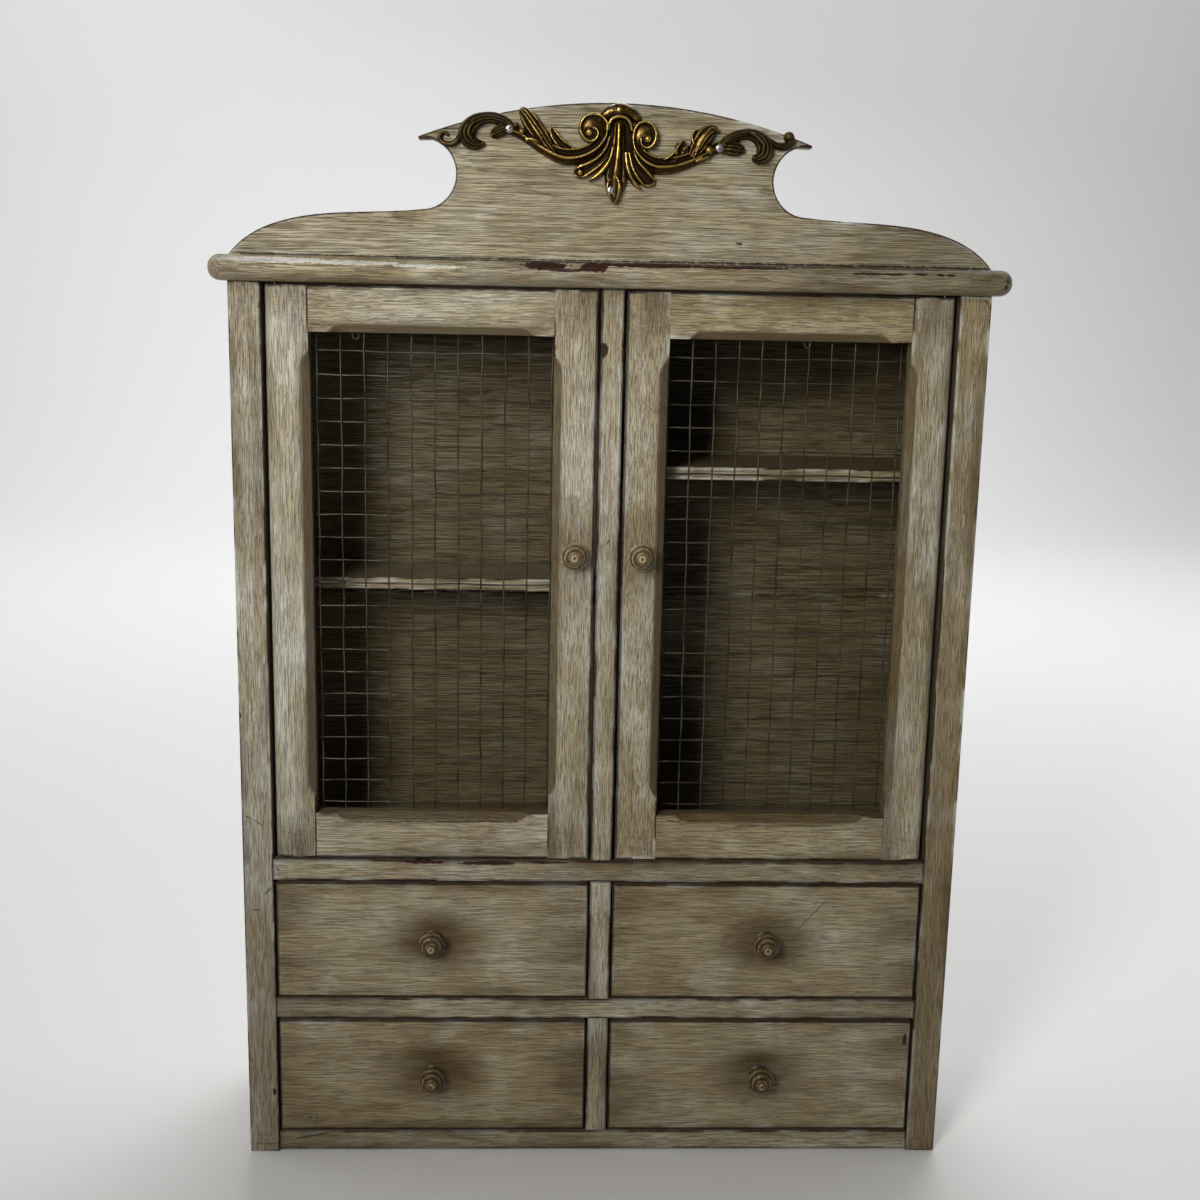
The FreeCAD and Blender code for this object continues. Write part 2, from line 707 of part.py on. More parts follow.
def make_drawer(name, z_low, z_high):
    """One left drawer and its mirror image, boxed behind an inset front."""
    left = -stile_inner_x + drawer_side_gap
    right = -half_mullion - drawer_side_gap
    back_y = back_front_y - drawer_back_gap
    front_back_y = front_y + drawer_front_thickness
    wall_front_y = front_back_y - drawer_front_rabbet
    wall_low = z_low + drawer_running_gap
    wall_high = z_high - drawer_wall_drop
    floor_low = wall_low + drawer_bottom_rise
    floor_high = floor_low + drawer_bottom_thickness
    inner_left = left + drawer_wall
    inner_right = right - drawer_wall
    bottom = block(inner_left - drawer_groove, inner_right + drawer_groove,
                   front_back_y - drawer_groove, back_y, floor_low, floor_high)
    walls = [block(left, inner_left, wall_front_y, back_y, wall_low, wall_high),
             block(inner_right, right, wall_front_y, back_y, wall_low, wall_high)]
    back = block(inner_left, inner_right, back_y - drawer_wall, back_y, floor_high, wall_high)
    front = block(left, right, front_y, front_back_y,
                  z_low + drawer_bottom_gap, z_high - drawer_top_gap)
    for wall in walls:
        front = front.cut(wall)
    knob_x = (left + right) / 2
    knob_z = (z_low + z_high) / 2
    front = front.cut(bottom).cut(knob_socket(knob_x, knob_z))
    add_pair(name + "_front", front)
    add_pair(name + "_sides", Part.makeCompound([wall.cut(bottom) for wall in walls]))
    add_pair(name + "_back", back)
    add_pair(name + "_bottom", bottom)
    add_pair(name + "_knob", knob(knob_x, knob_z))


def write_parts():
    os.makedirs("parts", exist_ok=True)
    for name, shape in nodes.items():
        shape.exportStep("parts/" + name + ".step")


make_sides()
make_back_boards()
make_boards()
make_partitions()
make_drawer_guides()
make_face_frame()
make_pivot_pins()
make_cornice()
make_pediment()
make_ornament()
make_ornament_screws()
make_shelves()
make_catches()
make_doors()
make_meshes()
make_drawer("drawer_lower", bottom_rail_top, middle_rail_bottom)
make_drawer("drawer_upper", middle_rail_top, upper_rail_bottom)
write_parts()
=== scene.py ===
import math
import random
from types import SimpleNamespace

import bmesh
import bpy
from mathutils import Matrix, Vector
from mathutils.bvhtree import BVHTree


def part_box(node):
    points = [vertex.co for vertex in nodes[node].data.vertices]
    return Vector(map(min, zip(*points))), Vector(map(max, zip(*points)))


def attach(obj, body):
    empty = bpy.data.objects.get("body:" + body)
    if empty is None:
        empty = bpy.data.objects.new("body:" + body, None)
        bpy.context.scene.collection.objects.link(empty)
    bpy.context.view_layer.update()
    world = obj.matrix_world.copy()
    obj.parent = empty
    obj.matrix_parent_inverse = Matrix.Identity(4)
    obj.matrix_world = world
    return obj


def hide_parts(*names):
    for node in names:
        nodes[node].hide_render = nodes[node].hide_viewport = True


# A small painted wall cabinet with mesh doors, four drawers and a gilt mount on its pediment.
# Metres throughout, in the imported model's frame, apart from the tables that say millimetres.

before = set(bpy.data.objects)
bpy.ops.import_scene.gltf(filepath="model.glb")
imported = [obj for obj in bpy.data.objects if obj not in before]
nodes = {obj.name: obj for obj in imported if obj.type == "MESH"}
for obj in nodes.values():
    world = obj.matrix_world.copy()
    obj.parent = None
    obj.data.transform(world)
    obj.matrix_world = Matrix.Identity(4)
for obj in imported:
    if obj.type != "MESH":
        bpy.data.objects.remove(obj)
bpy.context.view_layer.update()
millimetre = 0.001


def metres(table):
    """A table of millimetres, however deep, in metres."""
    if isinstance(table, (int, float)):
        return table * millimetre
    return tuple(metres(entry) for entry in table)


# Camera, as the photograph was taken: turned right, tipped down and a little rolled
camera_place = Vector((-0.0352, -0.8482, 0.4908))
camera_yaw = math.radians(2.247)
camera_pitch = math.radians(11.076)
camera_roll = math.radians(-1.176)
focal_pixels = 1482.3
image_pixels = 1200
sensor_width = 36.0

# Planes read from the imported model
door_back_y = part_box("door_top_rail_left")[1].y
pediment_low, pediment_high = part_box("pediment_board")
pediment_front_y = pediment_low.y
cornice_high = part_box("cornice_board")[1]

# How a screen's eight-bit values stand to light
screen_white = 255
screen_offset_share = 0.055
screen_power = 2.4


def srgb(*screen):
    """A colour as a shader wants it, from the red, green and blue values of a screen."""
    light = [((value / screen_white + screen_offset_share) / (1 + screen_offset_share)) ** screen_power
             for value in screen]
    return (*light, 1.0)


# Colours of the finish
paint_cream = srgb(186, 177, 150)
paint_olive = srgb(156, 140, 98)
paint_pale = srgb(220, 219, 209)
glaze_tan = srgb(138, 114, 70)
glaze_brown = srgb(116, 90, 46)
pore_tan = srgb(98, 78, 46)
pore_brown = srgb(74, 54, 34)
dirt_and_shade_brown = srgb(86, 66, 32)
shade_and_stain_brown = srgb(46, 38, 13)
bare_base = srgb(56, 26, 17)
crack_and_gap_shadow_black = srgb(16, 12, 9)


class Shader:
    """A material's node tree, with short ways to add and join nodes."""

    colour_inputs = (6, 7)
    colour_output = 2
    noise_middle = 0.5

    def __init__(self, name):
        self.material = bpy.data.materials.new(name)
        self.material.use_nodes = True
        self.tree = self.material.node_tree
        self.surface = self.tree.nodes["Principled BSDF"]
        self.place = self.add("ShaderNodeTexCoord").outputs["Object"]
        self.x, self.y, self.z = self.axes(self.place)

    def feed(self, socket, value):
        """Join a socket to another node's output, or set it to a fixed value."""
        if isinstance(value, bpy.types.NodeSocket):
            self.tree.links.new(value, socket)
        else:
            socket.default_value = value

    def add(self, kind, *values, **settings):
        node = self.tree.nodes.new(kind)
        for name, value in settings.items():
            setattr(node, name, value)
        for socket, value in zip(node.inputs, values):
            self.feed(socket, value)
        return node

    def math(self, operation, first, second=0.0):
        return self.add("ShaderNodeMath", first, second, operation=operation).outputs[0]

    def times(self, *values):
        product = values[0]
        for value in values[1:]:
            product = self.math("MULTIPLY", product, value)
        return product

    def plus(self, first, second):
        return self.math("ADD", first, second)

    def most(self, *values):
        largest = values[0]
        for value in values[1:]:
            largest = self.math("MAXIMUM", largest, value)
        return largest

    def least(self, first, second):
        return self.math("MINIMUM", first, second)

    def vector(self, operation, first, second=(0, 0, 0)):
        return self.add("ShaderNodeVectorMath", first, second, operation=operation).outputs[0]

    def length(self, place):
        node = self.add("ShaderNodeVectorMath", place, operation="LENGTH")
        return node.outputs["Value"]

    def dot(self, first, second):
        return self.add("ShaderNodeVectorMath", first, second, operation="DOT_PRODUCT").outputs["Value"]

    def axes(self, place):
        return self.add("ShaderNodeSeparateXYZ", place).outputs

    def combine(self, x, y, z):
        return self.add("ShaderNodeCombineXYZ", x, y, z).outputs[0]

    def span(self, value, low, high):
        """0 at low and 1 at high, smooth between. Low may be the larger of the two."""
        node = self.add("ShaderNodeMapRange", interpolation_type="SMOOTHSTEP")
        self.feed(node.inputs["Value"], value)
        self.feed(node.inputs["From Min"], min(low, high))
        self.feed(node.inputs["From Max"], max(low, high))
        self.feed(node.inputs["To Min"], 0.0 if low < high else 1.0)
        self.feed(node.inputs["To Max"], 1.0 if low < high else 0.0)
        return node.outputs["Result"]

    def noise(self, place, scale, detail=2.0, roughness=0.55):
        node = self.add("ShaderNodeTexNoise")
        self.feed(node.inputs["Vector"], place)
        self.feed(node.inputs["Scale"], scale)
        self.feed(node.inputs["Detail"], detail)
        self.feed(node.inputs["Roughness"], roughness)
        return node.outputs["Fac"]

    def stretched(self, place, cycles, *settings):
        """Noise with its own number of cycles a metre along each axis."""
        return self.noise(self.vector("MULTIPLY", place, cycles), 1.0, *settings)

    def rising(self, value, base, growth):
        return self.plus(self.times(value, growth), base)

    def centred(self, value, height):
        """A noise value moved to swing about zero, between plus and minus half the height."""
        return self.times(self.plus(value, -self.noise_middle), height)

    def mix(self, factor, first, second):
        node = self.add("ShaderNodeMix", data_type="RGBA")
        self.feed(node.inputs["Factor"], factor)
        for index, colour in zip(self.colour_inputs, (first, second)):
            self.feed(node.inputs[index], colour)
        return node.outputs[self.colour_output]

    def bump(self, height, distance, strength):
        node = self.add("ShaderNodeBump")
        self.feed(node.inputs["Strength"], strength)
        self.feed(node.inputs["Distance"], distance)
        self.feed(node.inputs["Height"], height)
        self.feed(self.surface.inputs["Normal"], node.outputs["Normal"])

    def finish(self, colour, roughness, specular, metallic=0.0):
        self.feed(self.surface.inputs["Base Color"], colour)
        self.feed(self.surface.inputs["Roughness"], roughness)
        self.feed(self.surface.inputs["Specular IOR Level"], specular)
        self.feed(self.surface.inputs["Metallic"], metallic)
        return self.material

    def edge_distance(self, box):
        """How far a place on a box's skin lies from the nearest of the box's edges."""
        low, high = box
        offset = self.vector("ABSOLUTE", self.vector("SUBTRACT", self.place, tuple((low + high) / 2)))
        x, y, z = self.axes(self.vector("SUBTRACT", tuple((high - low) / 2), offset))
        return self.most(self.least(x, y), self.least(self.most(x, y), z))


def layered(s, place, look):
    """A plain finish from a table of its look.

    Each noise has its cycles a metre along the axes, its detail and its roughness. A layer has a noise,
    the values between which it fades in, its share and its colour. Heights are the noises and shares
    that make up the bump, which has a depth and a strength. The roughness follows a noise: a base and
    how much it grows.
    """
    noises = {name: s.stretched(place, *settings) for name, settings in look["noises"].items()}
    colour = look["base"]
    for noise, fade, share, layer in look["layers"]:
        colour = s.mix(s.times(s.span(noises[noise], *fade), share), colour, layer)
    heights = [s.times(noises[noise], share) for noise, share in look["heights"]]
    s.bump(heights[0] if len(heights) == 1 else s.plus(*heights), *look["bump"])
    noise, base, growth = look["roughness"]
    return s.finish(colour, s.rising(noises[noise], base, growth), look["specular"], look["metal"])


# Painted wood: how the streaks, patches and wear are sized, in metres or cycles a metre
grain_orders = {"x": (0, 1, 2), "y": (1, 0, 2), "z": (2, 0, 1)}
seed_step = Vector((0.371, 0.533, 0.719))
drift_cycles = (6.0, 22.0, 22.0)
drift_height = 0.004
pore_cycles = (58.0, 2200.0, 2200.0)
ridge_cycles = (64.0, 1900.0, 1900.0)
line_cycles = (14.0, 1900.0, 1900.0)
band_cycles = (6.0, 70.0, 70.0)
pale_cycles = (12.0, 60.0, 60.0)
cloud_cycles = 16.0
hatch_cycles = (1300.0, 120.0, 120.0)
grime_cycles = (9.0, 48.0, 48.0)
zone_cycles = 36.0
chip_cycles = 360.0
edge_wobble = 0.0014
bare_edge = (0.0009, 0.0003)
rubbed_edge = (0.0024, 0.0008)
grime_edge = (0.011, 0.001)
gap_shadow_edge = (0.0016, 0.0008)
gap_shadow_wobble = 0.0008
end_grime = (0.042, 0.002)
end_wobble = 0.03
paint_bump = 0.0010
halo_stretch = (0.66, 0.0, 1.0)
halo_reach = (0.026, 0.007)
halo_wobble = 0.034
front_reach = (0.009, 0.007)
recess_dirt_and_shade_reach = (0.0003, 0.0014)
foot_glaze_and_shade_reach = (0.36, 0.02)
foot_glaze_and_shade_wobble = 0.12
inward_reach = 0.003
inside_shade_skin = 0.0008
dark_patch_skin = 0.0004
broad_detail = 3.0

# Between which noise values the grain, wear and dirt fade in
pore_fade = (0.53, 0.61)
cross_fade = (0.48, 0.62)
rubbed_fade = (0.52, 0.42)
grime_fade = (0.42, 0.66)
end_fade = (0.34, 0.60)
halo_fade = (0.36, 0.62)

# How much each of them covers of what lies below it, and how ragged its edges are
olive_share = 0.8
hatch_share = 0.3
rubbed_share = 0.6
rub_and_highlight_share = 0.85
grime_share = 0.7
crack_share = 0.88
inside_shade_share = 0.8
bare_from_share = 0.67
bare_worn_share = 0.40
bare_fade_share = 0.09
hatch_end_share = 0.4
upright_halo_share = 0.4
halo_ragged_shares = (0.55, 0.45)
halo_whole_share = 0.7
rough_share = 0.65
chip_ragged_share = 1.5
chip_edge_shares = (1.0, 0.9)
crack_ragged_share = 3.0
crack_core_share = 0.4
dark_patch_ragged_share = 1.6
dark_patch_edge_shares = (1.2, 0.4)
grain_relief_share = 0.5
bare_relief_share = 0.8
paint_bump_share = 0.75
paint_roughness_share = 0.40
pore_roughness_share = 0.12
dirt_and_shade_roughness_share = 0.10
paint_specular_share = 0.38

# The glaze in its layers: a noise and the values between which it fades in, a share that every board has,
# a tone, how much more of the share the tone brings, and the layer's colour
glaze_layers = (("patch", (0.42, 0.62), 0.00, "pale", 0.60, paint_pale),
                ("cloud", (0.40, 0.66), 0.08, "brown", 0.35, glaze_tan),
                ("band", (0.48, 0.66), 0.08, "brown", 0.25, glaze_brown),
                ("zone", (0.50, 0.68), 0.10, "brown", 0.22, glaze_brown),
                ("zone", (0.46, 0.32), 0.15, "pale", 0.25, paint_pale))
grain_layers = (("ridge", (0.53, 0.61), 0.20, "pale", 0.70, paint_pale),
                ("pore", (0.53, 0.61), 0.70, "brown", 0.10, pore_tan),
                ("line", (0.58, 0.66), 0.50, "brown", 0.00, pore_brown))

# The pediment's outline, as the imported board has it
arch_radius = 0.2887
arch_centre_z = pediment_high.z - arch_radius
neck_radius = 0.0184
neck_offset = 0.1018
horn_offset = 0.103
wing_height = 0.0252
wing_half_width = 0.2024
neck_centre_z = cornice_high.z + wing_height + neck_radius
wing_steps = 12
new_point_shares = (0.5, 0.5)

# Where the paint is pale: painted highlights on the cornice's nose, and a rubbed edge on the right door's
# meeting stile: a middle and its reach, in millimetres
rubs_and_highlights = {"cornice_board": (((-178, 512.8), (30, 1.6)), ((-135, 512.2), (24, 1.3)),
                          ((-98, 511.2), (20, 1))),
        "door_meeting_stile_right": (((8.6, 330), (0.7, 130)),)}

# Darker patches on a board's front half: on the back boards staining together with painted shadow at the
# left edge and top of the right-hand opening, and plain darker patches on the pediment and cornice: how
# strongly, then middles and reaches, in millimetres
dark_patches = {"back_board_upper": (0.75, (((40, 430), (34, 60)), ((42, 345), (30, 50)),
                                      ((110, 455), (60, 20)))),
          "back_board_lower": (0.75, (((40, 240), (22, 50)),)),
          "pediment_board": (0.24, (((168, 530), (50, 24)), ((10, 594), (100, 12)))),
          "cornice_board": (0.30, (((140, 508), (80, 16)),))}

# Marks seen on the boards, in millimetres: chips as a middle and its reach, cracks as a start, an end
# and a half width
marks = {
    "cornice_board": (
        (((-36, 512.8), (12, 2.4)), ((-26, 510.6), (10, 0.9)),
         ((-10, 512.4), (8, 2.6)), ((20, 513.9), (30, 1.1)),
         ((65, 513.8), (30, 0.7)), ((134, 512.1), (9, 0.7)),
         ((148, 512.2), (7, 0.6)), ((161.4, 512.4), (4, 0.7)),
         ((172.2, 512.2), (2.2, 0.7)), ((177.5, 512.2), (2.2, 0.6)),
         ((208.5, 510.5), (1.4, 2.2)), ((207.5, 506.5), (1, 1.6))),
        (((-114, 515), (105, 514.8), 0.5), ((100, 514.9), (205, 514.9), 0.4))),
    "pediment_board": ((), (
        ((65.5, 526.6), (67.5, 526.5), 0.8), ((-91.3, 581.8), (-81.5, 581.5), 0.3),
        ((-36.8, 583.6), (-20.1, 583.5), 0.3), ((20, 516.3), (201, 516.3), 0.8),
        ((-196, 516.1), (20, 516.1), 0.5))),
    "face_mullion": (
        (((-4.4, 469.8), (2.2, 4)),),
        (((-5.3, 489.9), (-5, 490.6), 0.6), ((-0.8, 364.8), (0.7, 367), 0.4))),
    "face_rail_upper": (
        (((-100, 180.6), (12, 1)), ((-65, 180.2), (18, 1.1)),
         ((-30, 180.7), (12, 0.6))),
        (((-183.8, 176.5), (-182.8, 175.2), 0.4),)),
    "face_rail_middle": ((((34, 85.8), (14, 0.7)),), ()),
    "face_rail_bottom": ((), (((-175.8, 8.5), (-158.2, 11.7), 0.4),)),
    "face_stile_left": (
        (((-202.9, 266.1), (1.2, 2.2)), ((-188, 38.1), (1, 2))),
        (((-200.5, 207.3), (-191.7, 202.1), 0.3), ((-190.4, 161.4), (-187.5, 164.5), 0.4),
         ((-197.5, 151.1), (-194.1, 151.2), 0.3), ((-202.9, 5.3), (-186.4, 5.3), 0.25))),
    "face_stile_right": (
        (((186.5, 330), (0.4, 30)), ((186.5, 265), (0.4, 22))),
        (((199.1, 500.1), (203, 494.9), 0.4),)),
    "door_bottom_rail_left": ((), (((-150.9, 204), (-47.7, 204.8), 0.3),)),
    "door_bottom_rail_right": ((), (
        ((78.3, 203.3), (130.6, 203.7), 0.3), ((37, 206.6), (45, 204.9), 0.3))),
    "drawer_upper_front_right": ((), (((114.5, 140.2), (131.1, 158.8), 0.25),)),
    "drawer_lower_front_left": ((), (
        ((-168.1, 21.8), (-167.6, 21.8), 0.6), ((-164, 21.8), (-163.5, 21.8), 0.6))),
    "drawer_lower_front_right": ((((181.5, 71.6), (1.2, 4)),), ()),
}


def wing_points():
    """Points along the top of a pediment wing, as shares of the half width and of the wing's height."""
    mesh = nodes["pediment_board"].data
    skin = BVHTree.FromPolygons([tuple(point.co) for point in mesh.vertices],
                                [tuple(face.vertices) for face in mesh.polygons])
    middle_y = (pediment_low.y + pediment_high.y) / 2
    points = [(0.0, 1.0)]
    for step in range(wing_steps + 1):
        share = 1 - (1 - step / wing_steps) ** 2
        across = neck_offset + (wing_half_width - neck_offset) * share
        place = skin.ray_cast(Vector((across, middle_y, neck_centre_z)), Vector((0, 0, -1)))[0]
        height = place.z - cornice_high.z if place else 0.0
        points.append((across / wing_half_width, height / wing_height))
    return points


def pediment_edge(s):
    """How far a place on the pediment lies from the arrises of its arched, cut and swept outline."""
    across = s.math("ABSOLUTE", s.x)
    arch = s.math("SUBTRACT", arch_radius, s.length(s.combine(s.x, 0.0, s.plus(s.z, -arch_centre_z))))
    neck = s.length(s.combine(s.plus(across, -neck_offset), 0.0, s.plus(s.z, -neck_centre_z)))
    curve = s.add("ShaderNodeFloatCurve")
    s.feed(curve.inputs["Value"], s.times(across, 1 / wing_half_width))
    places = wing_points()
    points = curve.mapping.curves[0].points
    while len(points) < len(places):
        points.new(*new_point_shares)
    for point, place in zip(points, places):
        point.location = place
        point.handle_type = "VECTOR"
    curve.mapping.update()
    height = s.plus(s.z, -cornice_high.z)
    wing = s.math("SUBTRACT", s.times(curve.outputs[0], wing_height), height)
    wing = s.most(wing, s.math("SUBTRACT", neck_offset, across))
    arch = s.most(arch, s.plus(across, -horn_offset))
    inside = s.least(s.least(arch, s.plus(neck, -neck_radius)), wing)
    depth = s.least(s.plus(s.y, -pediment_front_y), s.math("SUBTRACT", pediment_high.y, s.y))
    return s.most(inside, depth)


# How a board is painted. Brown and pale are its tones, and seed moves its pattern. Depth is how strongly
# the grain shows and short how short it is, and ends how brown the glaze stands at the ends of the board.
# The darkening, below 1, darkens the whole: a darker tone on the pediment, and painted shade on the right
# shelf and the boards inside the cupboards. The recess setting is how dark the faces grow that lie behind
# the front one, with grime and with painted shade, and the setting for the bottom how much darker the board
# grows toward the cabinet's bottom, with browner glaze and with painted shade. Hatch is the reach from each
# end in which the brush also went across the grain, and halo the place of a knob. The inside setting is the
# way, along X, in which a face of the cupboard's inside looks, which takes painted shade, and inward the way
# from the board's middle to a door's opening, where alone the recessed faces darken. Worn is how much of the
# edges is bare, and the gap setting how dark a painted shadow line along the gaps at the edges is.
plain_tone = {"grain": "x", "seed": 0, "brown": 0.5, "pale": 0.5, "depth": 1.0, "short": 1.0, "ends": 0.5,
              "deep": 1.0, "recess": 0.5, "foot": 0.0, "hatch": 0.0, "halo": None, "inner": 0,
              "inward": None, "worn": 0.5, "outline": 0.0, "edge_rule": None}


class Paint(Shader):
    """Cream paint over a dark base, glazed brown along the grain, rubbed and chipped at its edges.

    It also carries painted shade in recesses, along gaps, toward the bottom and inside the cupboards, and
    painted highlights on the cornice.
    """

    def __init__(self, name, box, tone):
        super().__init__(name)
        self.name = name
        self.box = box
        self.low, self.high = box
        self.tone = tone
        self.grow_grain()
        self.find_wear()

    def grow_grain(self):
        """The noises that the layers of the finish share, most of them drawn out along the grain."""
        order = grain_orders[self.tone.grain]
        moved = seed_step * self.tone.seed
        shifted = self.vector("ADD", self.place, tuple(moved))
        lying = self.axes(shifted)
        self.along = self.combine(*[lying[index] for index in order])
        drift = self.centred(self.stretched(self.along, drift_cycles), drift_height)
        wavy = self.vector("ADD", self.along, self.combine(0.0, drift, drift))
        streaks = self.vector("MULTIPLY", wavy, (self.tone.short, 1.0, 1.0))
        self.pore = self.stretched(streaks, pore_cycles)
        self.pores = self.span(self.pore, *pore_fade)
        self.ridge = self.stretched(streaks, ridge_cycles)
        self.ridges = self.span(self.ridge, *pore_fade)
        self.line = self.stretched(wavy, line_cycles)
        self.band = self.stretched(wavy, band_cycles, broad_detail)
        self.patch = self.stretched(wavy, pale_cycles, broad_detail)
        self.dust = self.stretched(wavy, grime_cycles, broad_detail)
        self.cloud = self.noise(shifted, cloud_cycles, broad_detail)
        self.zone = self.noise(shifted, zone_cycles)
        self.rough = self.noise(shifted, chip_cycles, broad_detail, rough_share)
        first = order[0]
        middle = (self.low[first] + self.high[first]) / 2 + moved[first]
        half = (self.high[first] - self.low[first]) / 2
        self.from_end = self.math("SUBTRACT", half, self.math("ABSOLUTE", self.plus(lying[first], -middle)))

    def find_wear(self):
        """Where the edges are bare, rubbed pale or grimy, and the ends brown."""
        rule = self.tone.edge_rule
        self.edge = rule(self) if rule else self.edge_distance(self.box)
        worn_edge = self.plus(self.edge, self.centred(self.rough, edge_wobble))
        bare_from = bare_from_share - bare_worn_share * self.tone.worn
        self.bare = self.times(self.span(worn_edge, *bare_edge),
                               self.span(self.zone, bare_from, bare_from + bare_fade_share))
        self.rubbed = self.times(self.span(worn_edge, *rubbed_edge), self.span(self.zone, *rubbed_fade))
        self.grime = self.times(self.span(self.edge, *grime_edge), self.span(self.dust, *grime_fade))
        self.end_glaze = self.span(self.plus(self.from_end, self.centred(self.band, end_wobble)), *end_grime)

    def ovals(self, places, ragged, edge_shares):
        """Ragged ovals on the front, each with its middle and its reach across and up."""
        covers = []
        for (x, z), (reach_x, reach_z) in places:
            offset = self.vector("SUBTRACT", self.place, (x, 0.0, z))
            away = self.length(self.vector("MULTIPLY", offset, (1 / reach_x, 0.0, 1 / reach_z)))
            covers.append(self.span(self.plus(away, ragged), *edge_shares))
        return self.most(*covers)

    def chip_rub_and_highlight_patches(self, chips):
        """Ragged patches where paint has come off or is rubbed, and the painted highlights on the cornice.
        """
        return self.ovals(chips, self.centred(self.rough, chip_ragged_share), chip_edge_shares)

    def dark_patch_cover(self, places):
        """Soft darker patches with wandering edges: staining, and on the back boards painted shadow too."""
        return self.ovals(places, self.centred(self.cloud, dark_patch_ragged_share), dark_patch_edge_shares)

    def cracked(self, cracks):
        """Fine dark lines, each from a start to an end with its half width."""
        lines = []
        for (start_x, start_z), (end_x, end_z), width in cracks:
            run = Vector((end_x - start_x, 0.0, end_z - start_z))
            offset = self.vector("SUBTRACT", self.place, (start_x, 0.0, start_z))
            offset = self.vector("MULTIPLY", offset, (1, 0, 1))
            nearest = self.add("ShaderNodeVectorMath", tuple(run), operation="SCALE")
            share = self.dot(offset, tuple(run / run.length_squared))
            self.feed(nearest.inputs["Scale"], self.least(self.most(share, 0.0), 1.0))
            away = self.length(self.vector("SUBTRACT", offset, nearest.outputs[0]))
            ragged = self.centred(self.rough, width * crack_ragged_share)
            lines.append(self.span(self.plus(away, ragged), width, width * crack_core_share))
        return self.most(*lines)

    def hatched(self):
        """Where the brush also went across the grain, near the ends of the board."""
        reach = self.tone.hatch
        ragged = self.plus(self.from_end, self.centred(self.patch, reach))
        near_end = self.span(ragged, reach, reach * hatch_end_share)
        return self.times(near_end, self.span(self.stretched(self.along, hatch_cycles), *cross_fade))

    def glazed(self):
        """The paint, its glaze, rubbed edges and painted highlights, before grime, shade and damage."""
        tone = self.tone
        olive = tone.brown * olive_share
        colour = tuple(cream * (1 - olive) + dark * olive for cream, dark in zip(paint_cream, paint_olive))
        for layers, depth in ((glaze_layers, 1.0), (grain_layers, tone.depth)):
            for noise, fade, least, grows_with, growth, layer in layers:
                share = (least + growth * getattr(tone, grows_with)) * depth
                colour = self.mix(self.times(self.span(getattr(self, noise), *fade), share), colour, layer)
        if tone.hatch:
            colour = self.mix(self.times(self.hatched(), hatch_share), colour, glaze_brown)
        colour = self.mix(self.times(self.rubbed, rubbed_share), colour, paint_pale)
        # Pale patches: painted highlights on the cornice's nose, and a rubbed edge on the right door
        if self.name in rubs_and_highlights:
            bright = self.chip_rub_and_highlight_patches(metres(rubs_and_highlights[self.name]))
            colour = self.mix(self.times(bright, rub_and_highlight_share), colour, paint_pale)
        return colour

    def from_front(self, reaches):
        return self.span(self.y, *[self.low.y + reach for reach in reaches])

    def toward_opening(self, reach):
        """1 where a place lies at least the reach from the board's middle, toward the door's opening."""
        offset = self.vector("SUBTRACT", self.place, tuple((self.low + self.high) / 2))
        return self.span(self.dot(offset, self.tone.inward), 0.0, reach)

    def smudged(self):
        """Dirt left by fingers round a knob, drawn out along the grain."""
        level = self.tone.grain == "x"
        x, z = self.tone.halo
        across = self.vector("MULTIPLY", self.vector("SUBTRACT", self.place, (x, 0.0, z)),
                             halo_stretch if level else tuple(reversed(halo_stretch)))
        streaks = self.plus(*[self.times(noise, share)
                              for noise, share in zip((self.band, self.pore), halo_ragged_shares)])
        cover = self.span(self.plus(self.length(across), self.centred(streaks, halo_wobble)), *halo_reach)
        broken = self.times(self.span(self.dust, *halo_fade), 1 - halo_whole_share)
        return self.times(cover, self.plus(broken, halo_whole_share), 1.0 if level else upright_halo_share)

    def find_dirt_and_shade(self):
        """How each place darkens: grime, glaze, and painted shade on recessed faces and toward the bottom.
        """
        tone = self.tone
        dirt_and_shade = self.most(self.times(self.grime, grime_share),
                         self.times(self.end_glaze, self.span(self.dust, *end_fade), tone.ends))
        if tone.halo:
            dirt_and_shade = self.most(dirt_and_shade, self.smudged())
        # Faces behind the front one darken: grime, and painted shade in the recesses and on the chamfers
        if tone.recess:
            behind = self.from_front(recess_dirt_and_shade_reach)
            if tone.inward:
                behind = self.times(behind, self.toward_opening(inward_reach))
            dirt_and_shade = self.most(dirt_and_shade, self.times(behind, tone.recess))
        # Darker toward the cabinet's bottom: browner glaze, and painted shade where the light falls off
        if tone.foot:
            height = self.plus(self.z, self.centred(self.cloud, foot_glaze_and_shade_wobble))
            dirt_and_shade = self.most(dirt_and_shade, self.times(self.span(height, *foot_glaze_and_shade_reach), tone.foot))
        return dirt_and_shade

    def damage_and_gap_shadows(self, colour):
        """Painted shadow lines beside the gaps, bare chips and cracks, over the paint."""
        tone = self.tone
        chips, cracks = metres(marks.get(self.name, ((), ())))
